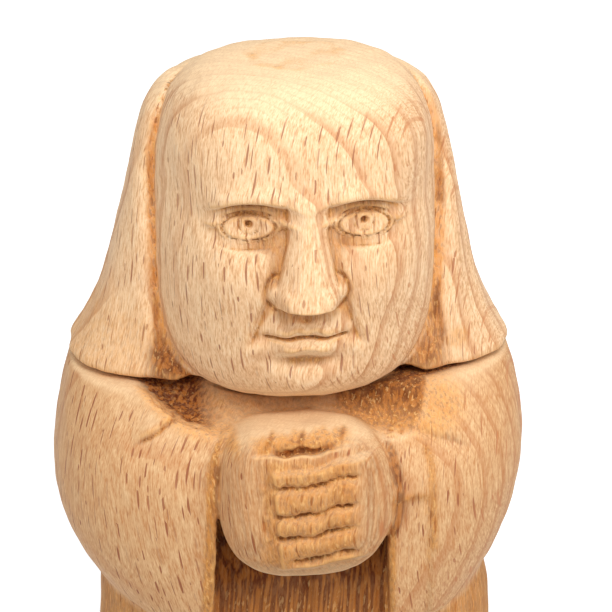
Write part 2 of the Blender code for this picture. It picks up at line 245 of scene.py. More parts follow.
def speckle(x, y, z, cell):
    places = [v / cell for v in (x, y, z)]
    lows = [np.floor(v) for v in places]
    shares = [ease(v - low) for v, low in zip(places, lows)]
    total = 0
    for corner in CORNERS:
        key = sum((low + c) * turn for low, c, turn in zip(lows, corner, LUCK_TURNS))
        luck = np.sin(key) * LUCK_SCALE
        weight = 1
        for share, c in zip(shares, corner):
            weight = weight * (share if c else 1 - share)
        total = total + weight * (luck - np.floor(luck))
    return 2 * total - 1


def tear(tool, depth, x, y, z):
    torn = np.array(tool)
    near = np.abs(torn) < TEAR_REACH
    spots = x[near], y[near], z[near]
    coarse = speckle(spots[0], spots[1], spots[2] / FIBRE_STRETCH, TEAR_CELLS[0])
    rough = coarse + TEAR_FINE_SHARE * speckle(*spots, TEAR_CELLS[1])
    torn[near] += np.broadcast_to(depth, torn.shape)[near] * rough
    return torn


tried = speckle(*[np.linspace(0, end, 500) for end in (30, 20, 10)], TEAR_CELLS[0])
print("torn grain runs from", tried.min().round(2), "to", tried.max().round(2))

# %% [markdown]
# ## The face block
#
# Face and bald crown are one egg that stands out of the hood. A carver separates the two with a knife
# cut that starts at the temples and gets wider and deeper towards the chin, where it opens into a dark
# corner. The hood's rim stands up a little beside it. The cut is made from the distance to the egg: it
# is widest at the hood's surface and closes a little deeper in. Its bottom is rough with torn grain.

# %% Face block and the cut round it
FACE_CENTRE = (-5, 19.8)
FACE_HALF_WIDTH = 18.1
FACE_REACH = (21.2, 17)
FACE_HEIGHT = (21.1, 21.3)
FACE_POWERS = (2.4, 4.2, 3.8)
CUT_WIDTH = (1.1, 5.2)
CUT_WIDENING = 0.6
CUT_TOP = 37.3
CUT_TOP_SHARE = 0.35
CUT_DEPTH = (1.25, 3.3)
CUT_HEM_SHARE = 0.3
CUT_TEAR = (0.1, 0.3)
CORNER_HEIGHT = 10.3
CORNER_FILLET = (0.5, 3.2)
RIM_LIFT = 0.45
RIM_PLACE = 2.4
RIM_HALF_WIDTH = 1.3
RIM_EASING = (0.45, 2.2)


def face_block(x, y, z):
    along = y - FACE_CENTRE[0]
    up = z - FACE_CENTRE[1]
    return boulder(x, along, up, FACE_HALF_WIDTH, *FACE_REACH, *FACE_HEIGHT, *FACE_POWERS)


def low_corner(z):
    return ease((CORNER_HEIGHT - z) / (CORNER_HEIGHT + 2))


def widening(x):
    return CUT_WIDENING * ease(x / 10 + 0.5)


def hood_with_cut(x, y, z, face):
    corner = low_corner(z)
    width = mix(*CUT_WIDTH, corner) + widening(x)
    width = width * mix(CUT_TOP_SHARE, 1, ease((CUT_TOP - z) / 12))
    depth = mix(*CUT_DEPTH, corner) * mix(CUT_HEM_SHARE, 1, ease(z / 5))
    rim = bell((face - RIM_PLACE - widening(x)) / RIM_HALF_WIDTH) * ease((8 - y) / 4)
    cloth = hood(x, y, z) - RIM_LIFT * rim
    knife = tear(face - width * (1 + cloth / depth), mix(*CUT_TEAR, corner), x, y, z)
    return cut(cloth, knife, mix(*RIM_EASING, corner))


print("face block is", 2 * FACE_HALF_WIDTH, "mm wide and", round(sum(FACE_HEIGHT), 1), "mm tall")

# %% [markdown]
# ## The face
#
# The face is a plain, calm one on usual proportions: eyes halfway, a wedge of a nose, a closed mouth.
# It is made as a relief, which is a height in millimetres over the egg for each place on it. Most
# forms are dents, bell-shaped bumps or hollows, and each is one row of a table: height, place aside,
# half width, place up, half height. The two halves mirror each other. A carver starts with the sockets
# and the brow, because they set the depth of everything else.

# %% Brow, sockets and cheeks
BROW_HEIGHT = 1.3
BROW_UP = 26.6
BROW_ARCH = 0.035
UNDER_BROW_CUT = 1.1
CHEEK_FORMS = {
    "socket": (-3.1, 7, 4.4, 23, 2.8),
    "cheek": (1.0, 9.6, 4.2, 15.8, 4.4),
    "temple": (-0.9, 15.4, 3, 25, 5),
    "jaw": (-0.6, 13, 3.5, 6, 5),
}


def dents(aside, z, forms):
    return sum(
        height * bell((aside - place) / half_width) * bell((z - up) / half_height)
        for height, place, half_width, up, half_height in forms.values()
    )


def brow_and_cheeks(aside, z):
    under_brow = BROW_UP - BROW_ARCH * (aside - 6) ** 2 - z
    brow = BROW_HEIGHT * bell(under_brow / 1.5) * between(aside, 1, 14, 4)
    brow -= UNDER_BROW_CUT * between(under_brow, 0, 2.6, 0.8) * bell((aside - 6.6) / 4.4)
    return brow + dents(aside, z, CHEEK_FORMS)


print("cheeks have", len(CHEEK_FORMS), "dents on each side")

# %% [markdown]
# The nose is a wedge that is widest and highest at its foot. Its ridge is flat on top and drops
# steeply, as a knife leaves it. A thin cut runs round each wing.

# %% Nose
NOSE_FOOT = 13.2
NOSE_ROOT = 27
NOSE_HALF_WIDTH = (4.0, 2.6)
NOSE_REACH = (5.7, 0.9)
NOSE_FORMS = {
    "wing": (1.3, 3.4, 1.25, 14.9, 1.35),
    "nostril": (-0.8, 1.9, 0.7, 12.9, 0.6),
}
WING_CUT = 0.45


def nose(aside, z):
    share = np.clip((z - NOSE_FOOT) / (NOSE_ROOT - NOSE_FOOT), 0, 1)
    half_width = mix(*NOSE_HALF_WIDTH, ease(share * 1.4))
    reach = mix(*NOSE_REACH, share**0.85)
    ridge = np.maximum(1 - (aside / half_width) ** 2.6, 0) ** 0.75
    relief = reach * ridge * ease((z - NOSE_FOOT + 0.6) / 1.2) + dents(aside, z, NOSE_FORMS)
    wing_edge = np.hypot((aside - 3.1) / 1.1, (z - 14.9) / 1.25)
    relief -= WING_CUT * bell((wing_edge - 1.95) / 0.3) * ease((aside - 3.2) / 1)
    return relief * ease((NOSE_ROOT + 2 - z) / 3)


print("nose stands", nose(np.array(0.0), np.array(NOSE_FOOT + 1)).round(1), "mm out of the face")

# %% [markdown]
# An eye is a low ball between two lids. All its lines follow one almond-shaped distance, which is one
# at the eye's rim: the cut inside the lids, the lids themselves, the folds above and below. The upper
# lid is the heavier one. Iris and pupil are a ring and a small drilled hole.

# %% Eyes
EYE_ASIDE = 7.2
EYE_UP = 22.8
EYE_HALF_WIDTH = 3.3
EYE_HALF_HEIGHT = 1.6
EYEBALL_HEIGHT = 1.6
LOWER_LID = (0.3, 1.22, 0.18)
UPPER_LID = (0.9, 1.34, 0.28)
LID_CUT = 0.5
UPPER_FOLD = 0.4
LOWER_FOLD = 0.35
IRIS_RADIUS = 1.25
IRIS_CUT = 0.25
PUPIL_RADIUS = 0.6
PUPIL_DEPTH = 0.75


def eyes(aside, z):
    across = (aside - EYE_ASIDE) / EYE_HALF_WIDTH
    up = (z - EYE_UP + 0.25 * across) / EYE_HALF_HEIGHT
    rim = np.hypot(across, up)
    upper = ease(up / 0.6 + 0.5)
    lid, lid_place, lid_width = [mix(low, high, upper) for low, high in zip(LOWER_LID, UPPER_LID)]
    relief = EYEBALL_HEIGHT * np.sqrt(np.maximum(1.4 - rim * rim, 0))
    relief += lid * bell((rim - lid_place) / lid_width)
    relief -= LID_CUT * bell((rim - 1.0) / 0.09)
    relief -= UPPER_FOLD * bell((rim - 1.85) / 0.14) * upper * bell(across / 1.1)
    relief -= LOWER_FOLD * bell((rim - 1.75) / 0.16) * (1 - upper) * bell(across / 1.0)
    iris = np.hypot(aside - EYE_ASIDE, z - EYE_UP - 0.45)
    relief -= IRIS_CUT * bell((iris - IRIS_RADIUS) / 0.16) * ease((1.02 - rim) / 0.12)
    relief -= PUPIL_DEPTH * ease((PUPIL_RADIUS - iris) / 0.3)
    return relief


print("eyes are", 2 * EYE_HALF_WIDTH, "mm wide and", 2 * EYE_ASIDE, "mm apart")

# %% [markdown]
# The mouth is one thin cut with a lip above and a fuller one below. The cut waves a little, so that it
# does not look ruled. Chin, mouth corners and the hollow under the lip are dents again.

# %% Mouth and chin
MOUTH_UP = 8.6
UPPER_LIP = 1.1
LOWER_LIP = 1.5
MOUTH_CUT = 1.0
LIP_GROOVE = 0.35
CHEEK_FOLD = 0.6
MOUTH_FORMS = {
    "corner": (-0.6, 5.4, 0.9, MOUTH_UP, 0.8),
    "under the lip": (-1.0, 0, 4, 5.3, 1),
    "chin": (1.0, 0, 4.4, 1.9, 2.5),
}


def mouth_and_chin(aside, z):
    wave = 0.3 * bell(aside / 1.6) - 0.15 * bell((aside - 2.4) / 1.2) + 0.008 * aside**2
    line = MOUTH_UP + wave
    bow = 0.35 * bell((aside - 1.4) / 1.0) - 0.15 * bell(aside / 0.6)
    relief = UPPER_LIP * bell((z - line - 0.95 - bow) / 0.8) * ease((5.2 - aside) / 3.4)
    relief += LOWER_LIP * bell((z - line + 1.2) / 0.95) * ease((4.6 - aside) / 3.2)
    relief -= MOUTH_CUT * bell((z - line) / 0.26) * ease((5.6 - aside) / 1.3)
    relief -= LIP_GROOVE * bell(aside / 0.7) * between(z, 10.2, 13.2, 0.8)
    fold = 4.7 + 2.3 * np.clip((14.2 - z) / 7, 0, 1.2) ** 1.2
    relief -= CHEEK_FOLD * bell((aside - fold) / 0.6) * between(z, 6.2, 14.6, 2)
    return relief + dents(aside, z, MOUTH_FORMS)


print("mouth is cut", round(MOUTH_CUT, 1), "mm deep,", MOUTH_UP, "mm above the chin's level")

# %% [markdown]
# ## Knife marks
#
# A hand-cut surface is never quite even: the knife leaves low, wide waves that only show where light
# grazes them. A few sine waves in odd directions, added to the field, are enough. They are the same
# on every run, which random numbers without a fixed seed would not be.

# %% Knife marks
KNIFE_DEPTH = 0.05


def knife_marks(x, y, z):
    waves = np.sin(0.9 * x + 0.31 * z + 1.3) * np.sin(0.8 * y - 0.42 * z)
    waves += np.sin(0.61 * z - 0.77 * x + 0.5) * np.sin(0.5 * z + 0.92 * y + 2.1)
    waves += 0.6 * np.sin(1.7 * x - 0.9 * y + 0.4 * z) * np.sin(1.1 * z + 0.7 * x)
    return KNIFE_DEPTH * waves


print("knife marks are up to", round(2.6 * KNIFE_DEPTH, 2), "mm deep")

# %% [markdown]
# ## The whole head
#
# Now the head is put together: hood with its cut, the egg with its relief, a flat sawn underside that
# leaves the chin hanging in front, and the blind bore for the dowel. The bore is never seen, but the
# head would not go onto its dowel without it.

# %% Whole head
BORE_RADIUS = 4.3
BORE_REACH = 12.3
BORE_MIDDLE = -0.15
CHIN_LEVEL = 1.3
CHIN_BACK = 13.5
UNDERSIDE_EASING = 0.8


def bore(x, y, z):
    return np.maximum(np.hypot(x, y) - BORE_RADIUS, np.abs(z - BORE_MIDDLE) - BORE_REACH)


def face_relief(x, y, z):
    aside = np.abs(x)
    up = z - CHIN_LEVEL
    relief = sum(form(aside, up) for form in (brow_and_cheeks, nose, eyes, mouth_and_chin))
    return relief * ease((-y - 6) / 8)


def head_field(x, y, z):
    egg = face_block(x, y, z)
    cloth = hood_with_cut(x, y, z, egg)
    fillet = mix(*CORNER_FILLET, low_corner(z))
    wood = join(cloth, egg - face_relief(x, y, z), fillet) + knife_marks(x, y, z)
    wood = cut(wood, np.maximum(z, -CHIN_BACK - y), UNDERSIDE_EASING)
    return np.maximum(wood, -bore(x + HEAD_LEAN * z, y, z))


head_heart = np.array([[0.0], [0.0], [20.0]])
print("field at the head's heart, negative in the wood:", head_field(*head_heart).round(1)[0])

# %% [markdown]
# ## The robe
#
# The robe is a plain skirt that is a little wider at the foot, and it narrows to the neck. One half is
# a touch fuller than the other, as hand work is. Three upright folds are scored into its front, the
# middle one deepest. Pleats modelled one by one would be too fine for a carving of this size.

# %% Robe
ROBE_FOOT = (28.5, 23.25)
ROBE_WAIST = (26.2, 20.25)
ROBE_SWAY = 0.7
ROBE_TUCK = 0.9
ROBE_PLAN_POWER = 2.4
BASE_EASING = 1.5
WAIST_HEIGHT = 33
SHOULDER_UP = 64
NECK_HALF_WIDTH = 22
CHEST_FRONT = 13
ROBE_FOLDS = ((0.75, 0.7, 0.8), (0.3, -5.2, 1.1), (0.3, 6.4, 1.2))


def robe(x, y, z):
    skirt = np.clip((z - 1) / (WAIST_HEIGHT - 1), 0, 1)
    chest = np.clip((z - WAIST_HEIGHT) / (SHOULDER_UP - WAIST_HEIGHT), 0, 1.2)
    flare = (1 - skirt) ** 2
    half_width = mix(ROBE_WAIST[0], ROBE_FOOT[0], flare) + (NECK_HALF_WIDTH - ROBE_WAIST[0]) * chest
    half_width = half_width + np.where(x < 0, -ROBE_SWAY, ROBE_SWAY) * (1 - flare)
    half_width = half_width - ROBE_TUCK * (x > 0) * ease((z - 28) / 7)
    half_depth = mix(ROBE_WAIST[1], ROBE_FOOT[1], flare)
    front = mix(half_depth, CHEST_FRONT, ease(chest))
    folds = sum(depth * bell((x - place) / half) for depth, place, half in ROBE_FOLDS)
    cloth = block(x, y, half_width, front, half_depth, ROBE_PLAN_POWER)
    return cut(cloth + folds * ease((-y - 8) / 6), z, BASE_EASING)


print("robe is", 2 * ROBE_FOOT[0], "mm wide at the foot")

# %% [markdown]
# ## The sleeves
#
# The sleeves form one broad barrel round the robe, because both arms are folded in front. In front and
# behind, the barrel is opened: the front opening is bounded by the cuffs and lets the hands and the
# robe's middle fold show. A shallow crease runs up each sleeve, and a flat band lies along one cuff.

# %% Sleeves
SLEEVE_FOOT = 31.5
SLEEVE_HANG = 1.9
SLEEVE_PLAN_POWER = 2.5
SLEEVE_BACK = 22
ELBOW_UP = 51
FOREARM_UP = 48
LEFT_BOW = (24.6, 31.5, 28.5, ELBOW_UP - 4)
RIGHT_BOW = (24.4, 31, 28.5, ELBOW_UP)
FRONT_BOW = (24, 26.5, 15, FOREARM_UP)
CUFF_ASIDE = -0.2
CUFF_TOP = 58.6
CUFF_MIDDLE = 51
CUFF_OPENING = (11.5, 10.9, 7.6)
CUFF_EASING = 0.8
CUFF_TEAR = 0.12
BAND_WIDTH = 5.8
BAND_STEP = 48.6
BAND_DEPTH = (0.2, 0.5)
BACK_OPENING = 14.5
BACK_EASING = 1.3


def three_point_bow(z, foot, middle, top, middle_up):
    z = np.clip(z, SLEEVE_FOOT - 3, SHOULDER_UP + 6)
    below = middle + (foot - middle) * ((middle_up - z) / (middle_up - SLEEVE_FOOT)) ** 2
    above = middle + (top - middle) * ((z - middle_up) / (SHOULDER_UP - middle_up)) ** 2
    return np.where(z < middle_up, below, above)


def cuff_half_width(z):
    foot, middle, top = CUFF_OPENING
    low = mix(middle, foot, np.clip((CUFF_MIDDLE - z) / 18, 0, 1.2))
    high = mix(middle, top, np.clip((z - CUFF_MIDDLE) / 7.6, 0, 1.4) ** 2)
    return np.where(z < CUFF_MIDDLE, low, high)


def crease_line(x, y, z):
    aside = np.abs(x)
    height = np.where(x < 0, 55.2 + 0.59 * (21 - aside), 56.7 - 0.4 * (aside - 15))
    reach = np.where(x < 0, 1, 0.6) * between(aside, 13.6, 22.4, 3) * ease((-y - 6) / 5)
    return height - z + 0.12 * np.sin(1.4 * x), reach


def sleeve_crease(x, y, z):
    drop, reach = crease_line(x, y, z)
    groove = 0.45 * bell(drop / 0.55)
    drape = 0.25 * bell((drop - 1) / 1.2) - 0.45 * bell((drop + 1.2) / 1.1)
    return (groove + drape) * reach


def cuff_band(x, y, z):
    from_rim = x - CUFF_ASIDE - cuff_half_width(z)
    flat = between(from_rim, -2, BAND_WIDTH, 0.7) * ease((-y - 15) / 3) * ease((56 - z) / 1.5)
    return flat * mix(*BAND_DEPTH, ease((BAND_STEP - z) / 0.8))


def sleeves(x, y, z):
    half_width = np.where(x < 0, three_point_bow(z, *LEFT_BOW), three_point_bow(z, *RIGHT_BOW))
    front = np.maximum(three_point_bow(z, *FRONT_BOW), 3)
    cloth = block(x, y, half_width, front, SLEEVE_BACK, SLEEVE_PLAN_POWER)
    cloth = cloth + sleeve_crease(x, y, z) + cuff_band(x, y, z)
    hang = SLEEVE_HANG * ease((26 - np.abs(x)) / 9)
    cloth = cut(cloth, z - SLEEVE_FOOT + hang, 1.6)
    behind_hands = mix(13, 21.5, ease((z - 36) / 14))
    opening = np.maximum(np.abs(x - CUFF_ASIDE) - cuff_half_width(z), y + behind_hands)
    opening = tear(np.maximum(opening, z - CUFF_TOP), CUFF_TEAR, x, y, z)
    back_opening = np.maximum(np.abs(x) - BACK_OPENING, 10.1 - y)
    return cut(cut(cloth, opening, CUFF_EASING), back_opening, BACK_EASING)


print("sleeves are", LEFT_BOW[1] + RIGHT_BOW[1], "mm wide at the elbows")

# %% [markdown]
# ## The clasped hands
#
# The hands are the finest cutting on the figure: two fists pressed into one block, with the fingers of
# one hand laid round the other. The fingers are four rolls that rise a little to one side, with thin
# knife cuts between them. Above them is the dark gap under the thumbs. It is a relief again, this time
# on a boulder that is a little fuller on one side.

# %% Hands
HANDS_CENTRE = (-0.2, -23, 49.2)
FIST_HALF_WIDTH = (10.8, 11.7)
FIST_TAPER = (0.003, 0.012)
FIST_DEPTH = 8
FIST_HEIGHT = (10.6, 9.9)
FIST_PLAN_POWER = (3.4, 2.6)
FIST_DOME_POWER = (2.5, 3.6)
FINGER_CUTS = (53, 49.3, 46.3, 43)
FINGER_TIPS = -4.2
FINGER_HEIGHT = 0.8
LAST_CUT_START = 1.6
KNUCKLES = 5.9
THUMB_GAP = 57.2
THUMB_HOLLOW = 0.7
THUMB_SLOT = (4.6, 4.5, 2.3, 0.8, 0.6, 2.2, 2, 2)


def finger_rise(x):
    return 0.06 * (x - 1) + 0.75 * ease((x - 0.6) / 3.2) - 0.35


def finger_cuts(x, z):
    cuts = []
    for number, height in enumerate(FINGER_CUTS):
        start = FINGER_TIPS - 0.1 + (LAST_CUT_START if number == 3 else 0)
        waver = 0.08 * np.sin(1.9 * x + 2 * number) + 0.06 * np.sin(5.3 * x + number)
        depth = 0.8 + 0.2 * np.sin(1.2 * x + 2.3 * number)
        reach = depth * ease((x - start) / 1.2) * ease((KNUCKLES + 1.2 - x) / 2.4)
        cuts.append((z - finger_rise(x) - height - waver, reach))
    return cuts


def over_thumb_gap(x, y, z):
    return z - THUMB_GAP - 0.1 * x + 0.4 * (y + 30)


def finger_relief(x, z):
    level = z - finger_rise(x)
    tips = FINGER_TIPS + 0.09 * (51 - z)
    for height in FINGER_CUTS[:3]:
        tips = tips + 0.8 * bell((level - height) / 0.6)
    rolls = between(level, 41.2, 55.6, 0.9) * ease((x - tips + 0.5) / 0.6) * ease((9.5 - x) / 3.4)
    relief = FINGER_HEIGHT * rolls - 0.35 * bell((x - tips + 1.3) / 0.7) * between(z, 42, 56, 2)
    for offset, reach in finger_cuts(x, z):
        groove = bell(offset / np.where(offset > 0, 0.36, 0.6))
        relief -= (0.95 * groove + 0.45 * bell(offset / 1.1)) * reach
    return relief


def hands(x, y, z):
    aside = x - HANDS_CENTRE[0]
    up = z - HANDS_CENTRE[2]
    left = aside < 0
    taper = 1 + np.where(left, *FIST_TAPER) * np.maximum(up, 0)
    fists = boulder(
        aside * taper, y - HANDS_CENTRE[1], up,
        np.where(left, *FIST_HALF_WIDTH), FIST_DEPTH, FIST_DEPTH, *FIST_HEIGHT,
        np.where(left, *FIST_PLAN_POWER), *FIST_DOME_POWER,
    )
    gap = over_thumb_gap(x, y, z)
    thumbs = between(x, -8, 6.4, 3) * ease((3.5 - gap) / 3.5) * ease((gap + 0.5) / 0.8)
    relief = finger_relief(x, z) - THUMB_HOLLOW * thumbs
    fists = fists - relief * ease((-y - 22) / 4)
    slot = boulder(x + 0.4, y + 30.4, gap + 0.15 * np.sin(1.7 * x), *THUMB_SLOT)
    return cut(fists, tear(slot, 0.1, x, y, z), 0.5)


print("hands are", sum(FIST_HALF_WIDTH), "mm wide, with", len(FINGER_CUTS), "finger cuts")

# %% [markdown]
# ## The whole body
#
# Robe, sleeves and hands are joined, and what lies open in front is cut back: a sloping chest under
# the chin, with a dark pocket on each side where sleeve and chest meet. Then room is made for the
# hanging chin, the seat is sawn flat, and the dowel's bore is drilled from the head's own frame, so
# that the two bores line up.

# %% Whole body
CHIN_CLEARANCE = 0.6
CHEST_FOOT = (-20.5, 56)
CHEST_SLOPE = 1.05
CHEST_TURN = (4.5, -1.2)
CHEST_STEEPNESS = 1.45
CHEST_TEAR = (0.2, 0.35)
CHEST_EASING = (0.8, 1.0)
SLEEVE_FILLET = (0.6, 2.4)
HAND_FILLET = 0.9
SEAT_EASING = 0.9


def sleeve_top(x):
    aside = np.abs(x)
    left = 57 + 1.4 * (np.maximum(aside - 12, 0) / 4.8) ** 2
    return np.where(x < 0, left, 56.3 + 14 * ease((aside - 14) / 6))


def chest_front(x, y, z):
    turn = np.where(x < 0, *CHEST_TURN) * ease((np.abs(x) - 8.5) / 6.5)
    return (y - CHEST_FOOT[0] - CHEST_SLOPE * (z - CHEST_FOOT[1]) - turn) / CHEST_STEEPNESS


def chest_hollow(x, y, z):
    over_sleeve = 0.8 * (sleeve_top(x) - z)
    hollow = cut(over_sleeve, -chest_front(x, y, z), 1.6)
    return tear(hollow, np.where(x < 0, *CHEST_TEAR), x, y, z)


def body_field(x, y, z):
    wood = join(robe(x, y, z), sleeves(x, y, z), mix(*SLEEVE_FILLET, ease((y - 6) / 4)))
    wood = cut(wood, chest_hollow(x, y, z), np.where(x < 0, *CHEST_EASING))
    wood = join(wood, hands(x, y, z), HAND_FILLET) + knife_marks(x, y, z)
    aside, along, up = into_head(x, y, z)
    chin = np.maximum(face_block(aside, along, up), along + CHIN_BACK) - CHIN_CLEARANCE
    wood = cut(wood, chin, 0.4)
    wood = cut(wood, -up - JOINT_GAP, SEAT_EASING)
    return np.maximum(wood, -bore(aside + HEAD_LEAN * up, along, up))


robe_heart = np.array([[0.0], [0.0], [25.0]])
print("field at the robe's heart, negative in the wood:", body_field(*robe_heart).round(1)[0])

# %% [markdown]
# ## Laying a skin over the field
#
# Blender needs faces, so the field is measured on a grid of small cubes. Each cube that holds some of
# the surface gets one point, at the middle of the places where the surface crosses the cube's edges,
# and the four cubes round each crossed edge are joined by one face. That gives clean four-sided faces
# with no gaps. A remesh modifier would also make a skin, but only after the shape was a mesh already.

# %% Skin
def measure(field, low, high, step):
    axes = [np.arange(a, b + step, step) for a, b in zip(low, high)]
    y, z = np.meshgrid(axes[1], axes[2], indexing="ij")
    return np.stack([field(np.full_like(y, x), y, z) for x in axes[0]])


def corner_of(values, corner):
    return values[tuple(slice(c, n - 1 + c) for c, n in zip(corner, values.shape))]


def skin_points(values):
    inside = sum(corner_of(values < 0, corner).astype(int) for corner in CORNERS)
    cubes = np.argwhere((inside > 0) & (inside < 8))
    total = np.zeros((len(cubes), 3))
    crossings = np.zeros((len(cubes), 1))
    for corner in CORNERS:
        for axis in range(3):
            if corner[axis]:
                continue
            end = np.array(corner) + np.eye(3, dtype=int)[axis]
            at_start = values[tuple((cubes + corner).T)]
            at_end = values[tuple((cubes + end).T)]
            crossed = ((at_start < 0) != (at_end < 0))[:, None]
            share = at_start / np.where(at_start == at_end, 1, at_start - at_end)
            place = np.array(corner) + share[:, None] * np.eye(3)[axis]
            total += np.where(crossed, place, 0)
            crossings += crossed
    return cubes, cubes + total / crossings


def skin_faces(values, cubes):
    number = np.full(values.shape, -1)
    number[tuple(cubes.T)] = np.arange(len(cubes))
    inside = values < 0
    faces = []
    for axis in range(3):
        first, second = np.eye(3, dtype=int)[[(axis + 1) % 3, (axis + 2) % 3]]
        ahead = np.roll(inside, -1, axis)
        edges = np.argwhere(inside != ahead)
        shifts = (0 * first, first, first + second, second)
        ring = np.stack([number[tuple((edges - shift).T)] for shift in shifts], axis=1)
        outward = inside[tuple(edges.T)]
        faces.append(np.where(outward[:, None], ring, ring[:, ::-1]))
    return np.concatenate(faces)


test_ball = measure(lambda x, y, z: np.sqrt(x * x + y * y + z * z) - 5, (-6, -6, -6), (6, 6, 6), 1.0)
print("a test ball of 10 mm gets", len(skin_faces(test_ball, skin_points(test_ball)[0])), "faces")

# %% [markdown]
# The skin's points lie a little off the surface, because the grid is coarse. Each is slid along the
# field's slope until the field is zero there, so fine cuts come out sharper than the grid would give.
# Where the carving is fine, at the face and the hands, the faces are split once before that.

# %% Settle and refine
NUDGE = 0.03
LONGEST_SLIDE = 0.15
SETTLE_ROUNDS = 4
LEAST_SLOPE = 0.2


def settle(points, field):
    nudges = np.eye(3) * NUDGE
    for _ in range(SETTLE_ROUNDS):
        value = field(*points.T)
        rises = [field(*(points + d).T) - field(*(points - d).T) for d in nudges]
        slope = np.stack([rise / (2 * NUDGE) for rise in rises], axis=1)
        slide = value / np.maximum((slope * slope).sum(axis=1), LEAST_SLOPE)
        points = points - np.clip(slide, -LONGEST_SLIDE, LONGEST_SLIDE)[:, None] * slope
    return points


def split_faces(mesh, boxes):
    work = bmesh.new()
    work.from_mesh(mesh)
    fine = set()
    for face in work.faces:
        middle = face.calc_center_median()
        if any(all(a < v < b for a, v, b in zip(low, middle, high)) for low, high in boxes):
            fine.update(face.edges)
    bmesh.ops.subdivide_edges(work, edges=list(fine), cuts=1, use_grid_fill=True)
    work.to_mesh(mesh)
    work.free()


# %% [markdown]
# ## Where the wood lies deep
#
# Old wax and dust gather in deep cuts, and edges are rubbed pale, but the colours laid on from these
# marks are partly painted light as well: hollows and cuts get painted shade, and edges a painted
# highlight. To colour them, the skin needs to know where it is hollow. For each point, the share of
# wood in a small box round it is counted: one half on a flat surface, more in a hollow and less on an
# edge. Blurring the grid of wood and air gives that share for all points at once. Thin knife cuts are
# narrower than a box, so they are found by how the skin bends at each point. All of it is kept on the
# mesh as attributes for the material.

# %% Shares of wood
def blur(grid, box):
    for axis, cells in enumerate(box):
        pads = [(cells + 1, cells) if k == axis else (0, 0) for k in range(3)]
        sums = np.cumsum(np.pad(grid, pads, mode="edge"), axis=axis)
        width = 2 * cells + 1
        size = grid.shape[axis]
        ahead = np.take(sums, range(width, width + size), axis=axis)
        grid = (ahead - np.take(sums, range(size), axis=axis)) / width
    return grid


def read_grid(grid, places):
    low = np.clip(np.floor(places).astype(int), 0, np.array(grid.shape) - 2)
    share = places - low
    total = 0
    for corner in CORNERS:
        weight = np.prod(np.where(corner, share, 1 - share), axis=1)
        total = total + weight * grid[tuple((low + corner).T)]
    return total


def wood_share(wood, box, step, soft, places):
    cells = [round(size / step / 2) for size in box]
    return read_grid(blur(blur(wood, cells), (soft, soft, soft)), places)


ball_shares = blur((test_ball < 0).astype(float), (6, 6, 6))
print("share of wood in a box round the test ball: up to", ball_shares.max().round(2))

# %% [markdown]
# The bend at a point is how far its neighbours stand above it, set against their distance. In a cut
# the neighbours stand higher, on an edge they lie lower. Two rounds of evening out remove the jitter
# of single faces. Four marks are kept: thin cuts, creases and hollows, which get wax and painted
# shade, and edges, which get wear and a painted highlight. A wax and shade function of each piece adds
# what only its maker can know, such as which cuts were stained on purpose and where painted shade lies
# under and between parts.

# %% Bends and marks
CREASE_BOX = 1.2
EVENING_ROUNDS = 2


def bend_of(mesh, points):
    edges = np.empty(len(mesh.edges) * 2, dtype=np.int32)
    mesh.edges.foreach_get("vertices", edges)
    first, second = edges.reshape(-1, 2).T
    normals = np.empty(len(points) * 3)
    mesh.vertices.foreach_get("normal", normals)
    span = points[second] - points[first]
    reach = (span * span).sum(axis=1)
    lean = np.zeros_like(points)
    np.add.at(lean, first, span)
    np.add.at(lean, second, -span)

    def gather(at_first, at_second):
        total = np.bincount(first, at_first, len(points))
        return total + np.bincount(second, at_second, len(points))

    count = np.maximum(np.bincount(edges, minlength=len(points)), 1)
    bend = (lean * normals.reshape(-1, 3)).sum(axis=1) / np.maximum(gather(reach, reach), 1e-9)
    for _ in range(EVENING_ROUNDS):
        bend = mix(bend, gather(bend[second], bend[first]) / count, 0.5)
    return bend


def mark_depths(mesh, values, near, wax_and_shade, points, places, step, hollow_box):
    wood = (values < 0).astype(float)
    crowded = np.maximum(wood, near < 0)
    close = wood_share(wood, [CREASE_BOX] * 3, step, 1, places)
    wide = wood_share(crowded, hollow_box, step, 3, places)
    bend = bend_of(mesh, points)
    shallow, deep = wax_and_shade(*points.T, ease((wide - 0.515) / 0.1))
    # cut, crease and hollow carry wax and painted shade; edge carries wear and a painted highlight
    marks = {
        "cut": ease((bend - 0.2) / 0.6),
        "crease": np.maximum(ease((close - 0.545) / 0.14), shallow),
        "hollow": deep,
        "edge": ease((-bend - 0.12) / 0.5),
    }
    for name, amount in marks.items():
        attribute = mesh.attributes.new(name, "FLOAT", "POINT")
        attribute.data.foreach_set("value", amount.astype(np.float32))
    print({name: round(float(amount.mean()), 3) for name, amount in marks.items()})


# %% [markdown]
# ## Carving one piece
#
# One function does the whole job for a piece: measure its field, lay the skin, refine and settle it,
# mark its hollows, and move it from the carver's bench into the frame. The neighbour's field is
# measured too, so that a hollow under another piece gets the same wax and painted shade as one in the
# same piece.


def carve(name, field, neighbour, wax_and_shade, low, high, step, fine_boxes, hollow_box, to_frame):
    step = step
    low = np.array(low, dtype=float)
    high = np.array(high, dtype=float)
    values = measure(field, low, high, step)
    near = measure(neighbour, low, high, step)
    cubes, places = skin_points(values)
    faces = skin_faces(values, cubes)
    mesh = bpy.data.meshes.new(name)
    mesh.from_pydata((low + places * step).tolist(), [], faces.tolist())
    split_faces(mesh, fine_boxes)
    points = np.empty(len(mesh.vertices) * 3)
    mesh.vertices.foreach_get("co", points)
    points = settle(points.reshape(-1, 3), field)
    mesh.vertices.foreach_set("co", points.ravel())
    mesh.update()
    mark_depths(mesh, values, near, wax_and_shade, points, (points - low) / step, step, hollow_box)
    mesh.vertices.foreach_set("co", (to_frame(points) * MM).ravel())
    mesh.update()
    mesh.shade_smooth()
    piece = bpy.data.objects.new(name, mesh)
    bpy.context.collection.objects.link(piece)
    print(name, len(mesh.vertices), "points,", len(mesh.polygons), "faces")
    return piece
